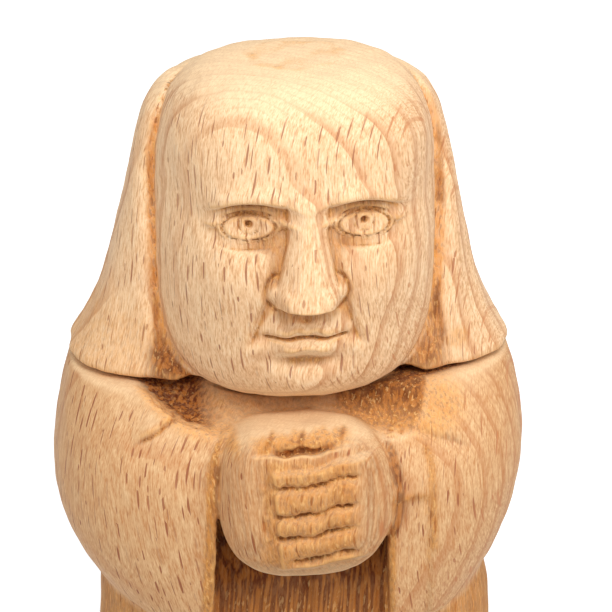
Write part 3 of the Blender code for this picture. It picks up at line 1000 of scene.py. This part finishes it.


# %% [markdown]
# ## The carved head
#
# On the head, wax lies in the long cut beside the face: orange all along it and darker in spots. In the
# low corners by the chin the cut is painted nearly brown, as painted shade. A little wax and painted
# shade lie in the sockets, and a little wax along the left hem. It could be painted by hand onto the
# mesh, but then it would be lost with every change of the shape. Each mark has two strengths:
# shallow, a warm orange, and deep, a dark brown.

# %% Head
HEAD_STEP = 0.445
CUT_WAX = 0.75
FACET_WAX = 0.5
HEM_WAX = 0.3
# orange and dark in the sockets: wax and painted shade
SOCKET_WAX_AND_SHADE = (0.6, 0.4)
# dark brown in the low corners by the chin: painted shade
CORNER_PAINTED_SHADE = (0.9, 0.6)
SPOT_STAIN = (0.4, 0.75)


def strongest(*stains_and_shades):
    return np.max(stains_and_shades, axis=0)


def wood_under_head(x, y, z):
    return np.maximum(z + JOINT_GAP, -CHIN_BACK - y)


def head_wax_and_shade(x, y, z, hollow):
    face = face_block(x, y, z)
    corner = low_corner(z)
    wide = mix(*CUT_WIDTH, corner) + 0.4 * widening(x)
    in_cut = ease((face - 0.1) / 0.5) * ease((wide + 0.4 - face) / mix(0.6, 2.2, corner))
    in_cut = in_cut * ease((4 - y) / 6) * ease((0.3 - hood(x, y, z)) / 0.6)
    facet = ease(1.6 - np.hypot((x - 20.8) / 1.7, (z - 3.8) / 1.1)) * ease((-y - 8) / 2)
    # the sockets follow the hollow mark: wax and painted shade
    sockets = hollow * ease((-y - 10) / 4) * between(z, 4, 32, 3) * ease((14 - np.abs(x)) / 3)
    hem = ease((13 - z) / 8) * ease((-x - 14) / 6)
    along_cut = CUT_WAX * in_cut * ease((36 - z) / 8)
    shallow = strongest(along_cut, FACET_WAX * facet, HEM_WAX * hem, SOCKET_WAX_AND_SHADE[0] * sockets)
    spots = np.where(x < 0, *SPOT_STAIN) * ease(speckle(x, y, z / 3, 1.5) / 0.4) * ease((34 - z) / 5)
    # painted shade in the low corners by the chin
    corner_shade = ease(corner * 1.5) * np.where(x < 0, *CORNER_PAINTED_SHADE)
    return shallow, strongest(in_cut * strongest(corner_shade, spots), SOCKET_WAX_AND_SHADE[1] * sockets)


head = carve(
    "carved_head", head_field, wood_under_head, head_wax_and_shade, low=(-32, -33, -4), high=(32, 26, 43),
    step=HEAD_STEP, fine_boxes=[((-15.5, -40, 0), (15.5, -12, 31.3))], hollow_box=(6, 6, 6),
    to_frame=out_of_head,
)
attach(head, "root")
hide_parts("head")

# %% [markdown]
# ## Wax and shade on the cuffs
#
# Along the front opening the cuffs have a torn, orange rim. The flat band beside the right rim is
# bounded by two thin lines, and the narrow valleys between cuffs and hands get the darkest painted
# shade.

# %% Cuff wax and shade
RIM_WAX = 0.95
BAND_LINE_WAX = 0.85
BAND_STEP_WAX = 0.7
CUFF_STAIN = 0.3
# dark in the valleys between cuffs and hands: painted shade
VALLEY_PAINTED_SHADE = (0.45, 0.75)


def past_cuff(x, z):
    return np.abs(x - CUFF_ASIDE) - cuff_half_width(z)


def cuff_wax_and_shade(x, y, z, beside_hands):
    from_rim = past_cuff(x, z)
    in_front = ease((-y - 19) / 2) * ease((z - 31) / 1.5)
    rim = between(from_rim, np.where(x < 0, -0.3, -0.9), np.where(x < 0, 1.7, 1.0), 0.5)
    rim = rim * ease((57.5 - z) / 1.5) * ease((beside_hands - 0.2) / 0.5)
    band_line = bell((from_rim - BAND_WIDTH) / 0.55) * between(z, 40, 55.5, 1.5) * (x > 0)
    band_step = bell((z - BAND_STEP) / 0.5) * between(from_rim, 0.2, 5.9, 0.4) * (x > 0)
    shallow = strongest(RIM_WAX * rim, BAND_LINE_WAX * band_line, BAND_STEP_WAX * band_step) * in_front
    # painted shade in the narrow valleys between cuffs and hands
    valley = between(beside_hands, 0.1, 1.6, 0.4) * in_front * ease((57 - z) / 3)
    return shallow, strongest(CUFF_STAIN * shallow, valley * np.where(x < 0, *VALLEY_PAINTED_SHADE))


# %% [markdown]
# ## Wax and shade on the hands
#
# The fingers and the thumbs' front are warmer than the plain fist, and the fists' front is darkened a
# little with painted shade. The cuts between the fingers and the slot under the thumbs get thin dark
# lines of painted shade, and three short strokes part the thumbs.

# %% Hand wax and shade
FINGER_WAX = 0.7
THUMB_WAX = 0.9
FINGER_CUT_PAINTED_SHADE = 0.8
THUMB_SLOT_PAINTED_SHADE = 0.9
STROKE_STAIN = (0.15, 0.8)
THUMB_STROKES = (-5.4, -1.3, 4.1)
HAND_PAINTED_SHADE = 0.25


def hand_wax_and_shade(x, y, z, beside_hands):
    near_wood = ease((1 - beside_hands) / 0.6)
    on_fingers = ease((-y - 28) / 1.5) * near_wood
    on_thumbs = ease((-y - 24) / 2) * near_wood
    gap = over_thumb_gap(x, y, z)
    uneven = gap + 0.3 * np.sin(2.1 * x + 1) + 0.2 * np.sin(4.7 * x)
    fingers = between(x, FINGER_TIPS - 2.5, KNUCKLES + 1, 2) * between(z, 41, 56.6, 1.5)
    thumbs = between(x, -7.8, 6.4, 2.4) * between(uneven, -0.8, 3.4, 1.5)
    # painted shade in the finger cuts
    cuts = strongest(*[reach * bell(offset / 0.3) for offset, reach in finger_cuts(x, z)])
    # painted shade in the slot under the thumbs
    slot = between(x, -5.6, 4.6, 2) * bell((gap - 0.1) / 0.75)
    strokes = strongest(*[bell((x - at - 0.3 * gap) / 0.5) for at in THUMB_STROKES])
    strokes = np.maximum(STROKE_STAIN[1] * strokes, STROKE_STAIN[0])
    strokes = strokes * between(x, -7.4, 6, 1.6) * between(uneven, 0.2, 3.2, 1.3)
    # painted shade over the front of the fists
    all_over = HAND_PAINTED_SHADE * ease((2 - beside_hands) / 1.5) * ease((-y - 26) / 3)
    shallow = strongest(FINGER_WAX * fingers * on_fingers, THUMB_WAX * thumbs * on_thumbs)
    on_thumb_front = strongest(THUMB_SLOT_PAINTED_SHADE * slot, strokes) * on_thumbs
    return shallow, strongest(FINGER_CUT_PAINTED_SHADE * cuts * on_fingers, on_thumb_front, all_over)


# %% [markdown]
# ## Wax and shade on chest and robe
#
# The pockets beside the chest are the darkest places of all, the left one more than the right, whose
# stain runs out softly onto the sleeve; their dark is partly stain and partly painted shade, strongest
# under the chin. The chest between them is only warm and torn. The crease up each sleeve gets a thin
# line of painted shade. Under the hands and under the sleeves the robe is darkened with painted shade
# as well, which fades towards its foot and its sides.

# %% Chest and robe wax and shade
# dark line in the sleeve crease: painted shade
CREASE_PAINTED_SHADE = 0.75
SLEEVE_LINE_WAX = 0.75
CHEST_WAX = 0.45
POCKET_SIDE_WAX = 0.75
# dark in the right pocket, strongest under the chin: stain and painted shade
RIGHT_POCKET_STAIN_AND_SHADE = (0.4, 0.9)
# darker robe under the hands: painted shade
UNDER_HANDS_PAINTED_SHADE = 0.9
# darker robe under the sleeves: painted shade
UNDER_SLEEVES_PAINTED_SHADE = (0.6, 0.3)


def chest_wax_and_shade(x, y, z):
    over = z - sleeve_top(x)
    on_chest = bell(chest_front(x, y, z) / 2) * ease(over / 1.2 + 0.3)
    # the left pocket's dark: stain and painted shade
    left_pocket = on_chest * ease((-x - 10.5) / 3)
    right_pocket = on_chest * ease((x - 2) / 5) * ease((21 - x) / 6)
    beside = ease(1.5 - np.hypot((x - 16.5) / 4.5, (z - 59) / 3.4)) * ease((-y - 6) / 4)
    grain = on_chest * ease((14 - np.abs(x)) / 4)
    sleeve_line = bell(over / 1.0) * ease((-y - 12) / 3) * ease((-x - 8) / 1)
    drop, reach = crease_line(x, y, z)
    # painted shade in the sleeve crease
    crease = CREASE_PAINTED_SHADE * bell(drop / 0.3) * reach
    shallow = strongest(
        SLEEVE_LINE_WAX * sleeve_line, right_pocket, CHEST_WAX * grain, POCKET_SIDE_WAX * beside
    )
    # stain and painted shade in the right pocket, darker towards the chin
    right_stain_and_shade = right_pocket * mix(*RIGHT_POCKET_STAIN_AND_SHADE, ease((z - 57) / 3))
    return shallow, strongest(left_pocket, right_stain_and_shade, crease)


def robe_painted_shade(x, y, z):
    # painted shade on the robe under the hands, between the cuffs
    under_hands = ease(0.5 - past_cuff(x, z)) * ease((50 - z) / 6) * ease((z - 12) / 16)
    under_hands = UNDER_HANDS_PAINTED_SHADE * under_hands * between(-y, 10, 22.6, 1.2)
    # painted shade on the robe under the sleeves
    below = ease((sleeves(x, y, z) - 0.2) / 0.8) * between(z, 20, 38, 6) * ease((6 - y) / 12)
    return UNDER_SLEEVES_PAINTED_SHADE[0] * below, strongest(under_hands, UNDER_SLEEVES_PAINTED_SHADE[1] * below)


# %% [markdown]
# ## The carved body
#
# All stains and painted shades are laid over each other, and at each point the strongest one counts.
# Broad hollows get the dark colour by themselves, partly stain and partly painted shade, except on the
# open chest, which real light and dust still reach.

# %% Body
BODY_STEP = 0.51
OPEN_CHEST = 0.75


# the head counted as wood over the body, so that the chest under the chin gets painted shade
def wood_over_body(x, y, z):
    aside, along, up = into_head(x, y, z)
    return np.maximum(np.minimum(hood(aside, along, up), face_block(aside, along, up)), -up - 2)


def body_wax_and_shade(x, y, z, hollow):
    beside_hands = hands(x, y, z)
    stains_and_shades = [
        cuff_wax_and_shade(x, y, z, beside_hands), hand_wax_and_shade(x, y, z, beside_hands), chest_wax_and_shade(x, y, z),
        robe_painted_shade(x, y, z),
    ]
    chest = ease((13.5 - np.abs(x)) / 3) * ease((z - 55) / 2)
    # broad hollows darkened: stain and painted shade
    broad_shade = hollow * (1 - OPEN_CHEST * chest)
    shallow = strongest(*[stain_and_shade[0] for stain_and_shade in stains_and_shades])
    return shallow, strongest(broad_shade, *[stain_and_shade[1] for stain_and_shade in stains_and_shades])


body = carve(
    "carved_body", body_field, wood_over_body, body_wax_and_shade, low=(-33, -33, -1), high=(33, 26, 69),
    step=BODY_STEP, fine_boxes=[((-13, -40, 38), (13, -20.5, 62)), ((-24, -40, 53), (-13, -12, 61))],
    hollow_box=(30, 8, 8), to_frame=lambda points: points,
)
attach(body, "root")
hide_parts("body")

# %% [markdown]
# ## A bench for materials
#
# A material in Blender is a web of small nodes. Placing each by hand takes many lines, so a helper
# class adds a node, sets or links its inputs and hands back its output, and the wood below reads
# almost like a formula. Colours are written as they look on a screen, and paint turns them into the
# linear values that Blender works with.

# %% Node helpers
def paint(red, green, blue):
    channels = [c / 255 for c in (red, green, blue)]
    return [c / 12.92 if c < 0.04045 else ((c + 0.055) / 1.055) ** 2.4 for c in channels] + [1]


class Finish:
    def __init__(self, name):
        self.material = bpy.data.materials.new(name)
        self.material.use_nodes = True
        self.nodes = self.material.node_tree.nodes
        self.links = self.material.node_tree.links
        self.shader = self.nodes["Principled BSDF"]

    def add(self, kind, inputs, output=0, **settings):
        node = self.nodes.new("ShaderNode" + kind)
        for setting, value in settings.items():
            setattr(node, setting, value)
        for socket, value in inputs.items():
            self.plug(node.inputs[socket], value)
        return node.outputs[output]

    def plug(self, socket, value):
        if isinstance(value, bpy.types.NodeSocket):
            self.links.new(value, socket)
        else:
            socket.default_value = value

    def reckon(self, operation, a, b=0.0):
        return self.add("Math", {0: a, 1: b}, operation=operation)

    def times(self, first, *others):
        for other in others:
            first = self.reckon("MULTIPLY", first, other)
        return first

    def plus(self, first, *others):
        for other in others:
            first = self.reckon("ADD", first, other)
        return first

    def arrows(self, operation, a, b=(0, 0, 0), output=0):
        return self.add("VectorMath", {0: a, 1: b}, output, operation=operation)

    def split(self, arrow):
        return self.add("SeparateXYZ", {0: arrow}).node.outputs

    def ramp(self, value, low, high, to_low=0.0, to_high=1.0):
        limits = {0: value, 1: low, 2: high, 3: to_low, 4: to_high}
        return self.add("MapRange", limits, interpolation_type="SMOOTHSTEP")

    def tint(self, share, colour, other):
        return self.add("Mix", {0: share, 6: colour, 7: other}, 2, data_type="RGBA")

    def noise(self, place, scale, detail=2.0, output=0):
        return self.add("TexNoise", {"Vector": place, "Scale": scale, "Detail": detail}, output)

    def stretched_noise(self, place, amounts, detail=2.0):
        return self.noise(self.arrows("MULTIPLY", place, amounts), 1, detail)

    def mark(self, name):
        return self.add("Attribute", {}, 2, attribute_name=name)


print("a mid grey of 128 is", round(paint(128, 128, 128)[0], 3), "in linear light")

# %% [markdown]
# ## Beech: the tree
#
# Beech is pale and warm, with thin growth rings and thousands of rays. A flat image cannot be wrapped
# round a carving without stretching, so the wood is solid: its pattern is worked out in space, round a
# tree's middle that lies outside the block, and the carved surface simply cuts through it. Each point
# gets its distance from the middle, its way round the tree and its height. Where the surface faces the
# middle it is tangential, and where it faces up it is end grain.

# %% Tree
TREE_MIDDLE = (50, 70, 0)
TREE_ARC = 86
WANDER = (7, 7, 0)
WANDER_SCALE = 0.035


def grow_tree(finish):
    place = finish.add("TexCoord", {}, 3)
    place = finish.add("VectorMath", {0: place, "Scale": 1 / MM}, operation="SCALE")
    wander = finish.noise(place, WANDER_SCALE, 1, 1)
    wander = finish.arrows("MULTIPLY", finish.arrows("SUBTRACT", wander, (0.5, 0.5, 0.5)), WANDER)
    bent = finish.arrows("ADD", place, wander)
    from_middle = finish.arrows("SUBTRACT", bent, TREE_MIDDLE)
    x, y, up = finish.split(from_middle)
    radius = finish.reckon("SQRT", finish.plus(finish.times(x, x), finish.times(y, y)))
    along = finish.times(finish.reckon("ARCTAN2", y, x), TREE_ARC)
    spoke = finish.arrows("NORMALIZE", finish.arrows("MULTIPLY", from_middle, (1, 1, 0)))
    facing = finish.add("NewGeometry", {}, 1)
    tangential = finish.reckon("ABSOLUTE", finish.arrows("DOT_PRODUCT", spoke, facing, 1))
    # surfaces that face up: end grain for rings and rays, and where the painted top light goes
    end_grain_and_top_light = finish.ramp(finish.reckon("ABSOLUTE", finish.split(facing)[2]), 0.45, 0.95)
    return place, bent, radius, along, up, tangential, end_grain_and_top_light


# %% [markdown]
# ## Beech: rays
#
# A ray is a thin plate that stands upright and points at the middle of the tree. Where the surface
# cuts across the plates they show as short dark dashes, and where it runs along them they show as
# satiny flecks. Each cell of a Voronoi texture, measured in tree coordinates, holds one plate, and the
# cell's random colour gives it its own width, height and strength.

# %% Rays
RAY_SPACING = (1.2, 3.8, 14)
RAY_HALF_WIDTH = (0.05, 0.13)
RAY_HALF_HEIGHT = (0.4, 1.9)


def grow_rays(finish, along, up, radius):
    ways = [finish.reckon("DIVIDE", way, size) for way, size in zip((along, up, radius), RAY_SPACING)]
    scaled = finish.add("CombineXYZ", dict(enumerate(ways)))
    cells = finish.add("TexVoronoi", {"Vector": scaled, "Scale": 1.0, "Randomness": 1.0}).node.outputs
    offset = finish.split(finish.arrows("SUBTRACT", scaled, cells["Position"]))
    luck = finish.add("SeparateColor", {0: cells["Color"]}).node.outputs
    distances = []
    for axis, limits in enumerate((RAY_HALF_WIDTH, RAY_HALF_HEIGHT)):
        half = finish.ramp(luck[axis], 0, 1, *[limit / RAY_SPACING[axis] for limit in limits])
        distances.append(finish.reckon("POWER", finish.reckon("DIVIDE", offset[axis], half), 2))
    plate = finish.ramp(finish.plus(*distances), 1.2, 0.4)
    return finish.times(plate, finish.ramp(luck[2], 0, 0.7, 0.25, 1))


# %% [markdown]
# ## Beech: rings and fibres
#
# A ring darkens slowly over the summer and ends in a sharp line, so it is a lopsided ramp of the
# distance from the tree's middle. Between the main rings run thinner ones. The fibres are three noises
# that are stretched along the trunk: hairs, pores and wide streaks.

# %% Rings and fibres
RING_WIDTH = 4.1
THIN_RINGS = 3.2
HAIRS = (7.5, 7.5, 0.4)
PORES = (10, 10, 1.5)
STREAKS = (1.9, 1.9, 0.09)
FIBRE_SHARES = (0.5, 0.34, 0.16)


def ring(finish, radius, width, start, full, end):
    share = finish.reckon("FRACT", finish.reckon("DIVIDE", radius, width))
    return finish.times(finish.ramp(share, start, full), finish.ramp(share, 1.0, end))


def grow_rings(finish, radius, tangential, end_grain_and_top_light):
    main = ring(finish, radius, RING_WIDTH, 0.6, 0.96, 0.97)
    main = finish.times(main, finish.ramp(tangential, 0.97, 0.75, 0.2, 1))
    main = finish.times(main, finish.ramp(end_grain_and_top_light, 0, 1, 1, 0.35))
    thin = ring(finish, radius, RING_WIDTH / THIN_RINGS, 0.7, 0.95, 0.96)
    return main, finish.times(thin, finish.ramp(tangential, 0.9, 0.5))


def grow_fibres(finish, bent, along, up, radius):
    trunk = finish.add("CombineXYZ", {0: along, 1: finish.times(radius, 0.2), 2: up})
    hairs = finish.stretched_noise(trunk, HAIRS)
    pores = finish.stretched_noise(trunk, PORES, 1)
    streaks = finish.stretched_noise(bent, STREAKS)
    parts = [finish.times(noise, share) for noise, share in zip((hairs, pores, streaks), FIBRE_SHARES)]
    return finish.plus(*parts), streaks


# %% [markdown]
# ## Beech: colour of the clean wood
#
# The colour is laid on in thin glazes, as a painter would: clouds of two base tones, dark and light
# hairs, grit, ring lines and rays, and at last a paler tone on surfaces that face up, partly end grain
# and partly painted top light. Each glaze is one tint with its share, so a single layer is easy to
# change.

# %% Clean wood
DARK_HAIR = paint(190, 126, 72)
GRIT = paint(190, 132, 82)
RING_LINE = paint(182, 112, 60)
THIN_LINE = paint(180, 114, 62)
SATIN_RAY = paint(196, 126, 78)
DASH_RAY = paint(148, 80, 48)
# paler tone where the surface faces up: end grain and painted top light
PALE_END_GRAIN_AND_TOP_LIGHT = paint(250, 224, 182)
CLOUDS = (0.09, 0.09, 0.04)
RING_SHARE = 0.5
THIN_RING_SHARE = 0.32
PALE_END_GRAIN_AND_TOP_LIGHT_SHARE = 0.45


def clean_wood(finish, wood, tree, fibres, grit, rays):
    place, bent, radius, along, up, tangential, end_grain_and_top_light = tree
    ring_line, thin_line = grow_rings(finish, radius, tangential, end_grain_and_top_light)
    colour = finish.tint(finish.stretched_noise(bent, CLOUDS), wood["warm"], wood["pale"])
    colour = finish.tint(finish.ramp(fibres, 0.36, 0.53, wood["dark_hairs"], 0), colour, DARK_HAIR)
    colour = finish.tint(finish.ramp(fibres, 0.5, 0.66, 0, wood["light_hairs"]), colour, wood["light"])
    colour = finish.tint(finish.ramp(grit, 0.3, 0.5, 0.12, 0), colour, GRIT)
    colour = finish.tint(finish.times(ring_line, RING_SHARE), colour, RING_LINE)
    colour = finish.tint(finish.times(thin_line, THIN_RING_SHARE), colour, THIN_LINE)
    ray_colour = finish.tint(finish.ramp(tangential, 0.35, 0.75), SATIN_RAY, DASH_RAY)
    colour = finish.tint(finish.times(rays, wood["rays"]), colour, ray_colour)
    # paler up-facing surfaces: end grain and painted top light
    return finish.tint(finish.times(end_grain_and_top_light, PALE_END_GRAIN_AND_TOP_LIGHT_SHARE), colour, PALE_END_GRAIN_AND_TOP_LIGHT)


# %% [markdown]
# ## Beech: wax, wear and painted light
#
# Over the clean wood come the marks that were kept on the mesh. Shallow wax is orange and patchy,
# because torn fibres take it unevenly; in concave places it is partly painted shade. Deep colour is
# brown with streaks along the grain, partly stain and partly painted shade. Thin cuts end in a dark
# line of painted shade, torn fibres show light and dark specks, and edges are rubbed to a warm pale
# tone that is partly a painted highlight.

# %% Wax, wear and painted light
# orange of wax, also painted shade in concave places
WAX_AND_SHADE = paint(218, 147, 66)
# dark brown in hollows: stain and painted shade
DARK_STAIN_AND_SHADE = paint(100, 42, 6)
LIGHT_STAIN_AND_SHADE = paint(168, 100, 38)
# dark line in thin cuts: painted shade
CUT_LINE = paint(104, 54, 22)
TORN_DARK = paint(134, 74, 28)
TORN_LIGHT = paint(238, 192, 128)
# pale on convex edges: wear and a painted highlight
WORN_EDGE_AND_HIGHLIGHT = paint(240, 186, 116)
WAX_AND_SHADE_SHARE = 0.85
TORN_SHARES = (0.5, 0.6)
EDGE_SHARE = 0.4


def waxed_and_shaded_wood(finish, colour, line_shade, torn, streaks):
    cut_mark, crease, hollow, edge = [finish.mark(name) for name in ("cut", "crease", "hollow", "edge")]
    shallow = finish.reckon("MAXIMUM", cut_mark, crease)
    patchy = finish.times(finish.ramp(torn, 0.36, 0.6, 0.45, 1), WAX_AND_SHADE_SHARE)
    # orange in cuts and creases: wax and painted shade
    colour = finish.tint(finish.times(shallow, patchy), colour, WAX_AND_SHADE)
    stain_and_shade = finish.tint(finish.ramp(streaks, 0.43, 0.58), DARK_STAIN_AND_SHADE, LIGHT_STAIN_AND_SHADE)
    # brown in hollows: stain and painted shade
    colour = finish.tint(finish.times(hollow, finish.ramp(torn, 0.35, 0.6, 0.85, 1)), colour, stain_and_shade)
    # dark line in thin cuts: painted shade
    colour = finish.tint(finish.ramp(cut_mark, 0.45, 1, 0, line_shade), colour, CUT_LINE)
    dark = finish.times(finish.ramp(torn, 0.47, 0.36), shallow, TORN_SHARES[0])
    light = finish.times(finish.ramp(torn, 0.55, 0.68), shallow, TORN_SHARES[1])
    colour = finish.tint(light, finish.tint(dark, colour, TORN_DARK), TORN_LIGHT)
    # pale tone on convex edges: wear and a painted highlight
    colour = finish.tint(finish.times(edge, EDGE_SHARE), colour, WORN_EDGE_AND_HIGHLIGHT)
    return colour, finish.reckon("MAXIMUM", shallow, hollow)


# %% [markdown]
# ## Beech: the finish
#
# The figure is oiled, so the wood has a low satin sheen that the fibres break up, and waxed hollows are
# duller. The fibres, grit and rays also lift and lower the surface by a hair's breadth, and torn places
# much more. The head is the paler block, and the body is the warmer one with stronger grain; the
# difference is partly the two blocks' own tone and partly painted light, brighter at the head and
# darker at the body.

# %% Beech finish
TORN = (2.6, 2.6, 0.8)
GRIT_SCALE = 7
SHEEN_LEVEL = 0.26
FIBRE_ROUGHNESS = (0.5, 0.66)
WAX_ROUGHNESS = 0.3
BUMP_SHARES = {"fibres": 0.6, "rays": 0.5, "grit": 0.4, "torn": 3}
BUMP_STRENGTH = 0.8
BUMP_DEPTH = 0.0001


def make_beech(name, line_shade, **wood):
    finish = Finish(name)
    tree = grow_tree(finish)
    place, bent, radius, along, up, tangential, end_grain_and_top_light = tree
    rays = grow_rays(finish, along, up, radius)
    rays = finish.times(rays, finish.ramp(end_grain_and_top_light, 0, 1, 1, 0.15))
    rays = finish.times(rays, finish.ramp(tangential, 0.1, 0.45, 0.6, 1))
    fibres, streaks = grow_fibres(finish, bent, along, up, radius)
    grit = finish.noise(place, GRIT_SCALE)
    torn = finish.stretched_noise(bent, TORN, 4)
    colour = clean_wood(finish, wood, tree, fibres, grit, rays)
    colour, deep = waxed_and_shaded_wood(finish, colour, line_shade, torn, streaks)
    rough = finish.ramp(fibres, 0.2, 0.8, *FIBRE_ROUGHNESS)
    rough = finish.plus(rough, finish.times(deep, WAX_ROUGHNESS))
    finish.plug(finish.shader.inputs["Base Color"], colour)
    finish.plug(finish.shader.inputs["Roughness"], rough)
    finish.shader.inputs["Specular IOR Level"].default_value = SHEEN_LEVEL
    height = finish.plus(
        finish.times(fibres, BUMP_SHARES["fibres"]), finish.times(rays, -BUMP_SHARES["rays"]),
        finish.times(grit, BUMP_SHARES["grit"]), finish.times(torn, deep, BUMP_SHARES["torn"]),
    )
    bump = {"Strength": BUMP_STRENGTH, "Distance": BUMP_DEPTH, "Height": height}
    finish.plug(finish.shader.inputs["Normal"], finish.add("Bump", bump))
    return finish.material


# paler head copy: its own tone and painted light
head_beech = make_beech(
    "head_beech", line_shade=0.4, pale=paint(243, 206, 162), warm=paint(231, 186, 140),
    light=paint(253, 229, 192), dark_hairs=0.64, light_hairs=0.54, rays=0.75,
)
# darker body copy: its own tone and painted shade
body_beech = make_beech(
    "body_beech", line_shade=0.6, pale=paint(220, 176, 128), warm=paint(206, 157, 109),
    light=paint(236, 200, 152), dark_hairs=0.8, light_hairs=0.68, rays=0.88,
)
head.data.materials.append(head_beech)
body.data.materials.append(body_beech)
print("beech nodes:", len(head_beech.node_tree.nodes))

# %% [markdown]
# ## The dowel
#
# The dowel sits unseen in its bores. The CAD node is the right shape, so it stays as it is and only
# gets wood: the same beech, since a dowel is turned from it too.

# %% Dowel
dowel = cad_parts["neck_dowel"]
dowel.data.materials.clear()
dowel.data.materials.append(make_beech(
    "dowel_beech", line_shade=0, pale=paint(240, 206, 158), warm=paint(232, 190, 140),
    light=paint(252, 226, 184), dark_hairs=0.5, light_hairs=0.4, rays=0.8,
))

# %% [markdown]
# ## Floor
#
# The carving stands on a white table. The floor is lifted to white only for the rays that the camera
# sends, and for mirrored ones, so that it does not throw extra light onto the wood. The lift is lower
# close to the figure, so that its soft shadow stays visible there.

# %% Floor
FLOOR_HALF = 1.5
FLOOR_GREY = 0.6
FLOOR_ROUGHNESS = 0.9
GLOW_RANGE = (0.05, 0.35)
GLOW = (0.6, 0.88)


def make_floor():
    mesh = bpy.data.meshes.new("table_top")
    corners = [(-1, -1, 0), (1, -1, 0), (1, 1, 0), (-1, 1, 0)]
    mesh.from_pydata([Vector(c) * FLOOR_HALF for c in corners], [], [(0, 1, 2, 3)])
    floor = bpy.data.objects.new("table_top", mesh)
    bpy.context.collection.objects.link(floor)
    finish = Finish("white_table")
    finish.shader.inputs["Base Color"].default_value = (FLOOR_GREY, FLOOR_GREY, FLOOR_GREY, 1)
    finish.shader.inputs["Roughness"].default_value = FLOOR_ROUGHNESS
    rays = finish.add("LightPath", {}).node.outputs
    seen = finish.reckon("MAXIMUM", rays["Is Camera Ray"], rays["Is Glossy Ray"])
    seen = finish.reckon("MAXIMUM", seen, rays["Is Transmission Ray"])
    finish.shader.inputs["Emission Color"].default_value = (1, 1, 1, 1)
    from_figure = finish.arrows("LENGTH", finish.add("NewGeometry", {}), output=1)
    glow = finish.ramp(from_figure, *GLOW_RANGE, *GLOW)
    finish.plug(finish.shader.inputs["Emission Strength"], finish.times(seen, glow))
    mesh.materials.append(finish.material)
    return floor


make_floor()
print("table top is", 2 * FLOOR_HALF, "m wide")

# %% [markdown]
# ## Light
#
# Four large soft lamps and a pale sky light the wood at a plain level. The front lamp gives the forms
# their shading, the top lamp lifts the crown, and the two at the sides open the shadows, the right one
# a little more. Each is placed by its turn and rise, seen from the figure, and aimed at its middle.

# %% Lamps
LAMP_AIM = 0.085
SKY_LEVEL = 0.38
# turn and rise in degrees, distance and size in metres, power in watts
LAMPS = {
    "front_lamp": (4, 42, 0.42, 0.2, 0.93),
    "top_lamp": (10, 78, 0.3, 0.2, 0.24),
    "left_lamp": (-52, 22, 0.45, 0.26, 0.55),
    "right_lamp": (54, 22, 0.45, 0.26, 0.82),
}


def soft_lamp(name, turn, rise, distance, size, power):
    lamp = bpy.data.lights.new(name, "AREA")
    lamp.shape = "DISK"
    lamp.size = size
    lamp.energy = power
    holder = bpy.data.objects.new(name, lamp)
    turn, rise = math.radians(turn), math.radians(rise)
    across = math.cos(rise)
    away = Vector((math.sin(turn) * across, -math.cos(turn) * across, math.sin(rise)))
    holder.location = Vector((0, 0, LAMP_AIM)) + away * distance
    holder.rotation_euler = (-away).to_track_quat("-Z", "Y").to_euler()
    bpy.context.collection.objects.link(holder)


for lamp_name, setting in LAMPS.items():
    soft_lamp(lamp_name, *setting)

world = bpy.data.worlds.new("pale_studio")
world.use_nodes = True
sky = world.node_tree.nodes["Background"]
sky.inputs["Color"].default_value = (1, 1, 1, 1)
sky.inputs["Strength"].default_value = SKY_LEVEL
bpy.context.scene.world = world
bpy.context.scene.view_settings.view_transform = "Standard"
print(len(LAMPS), "lamps, together", round(sum(setting[-1] for setting in LAMPS.values()), 2), "W")
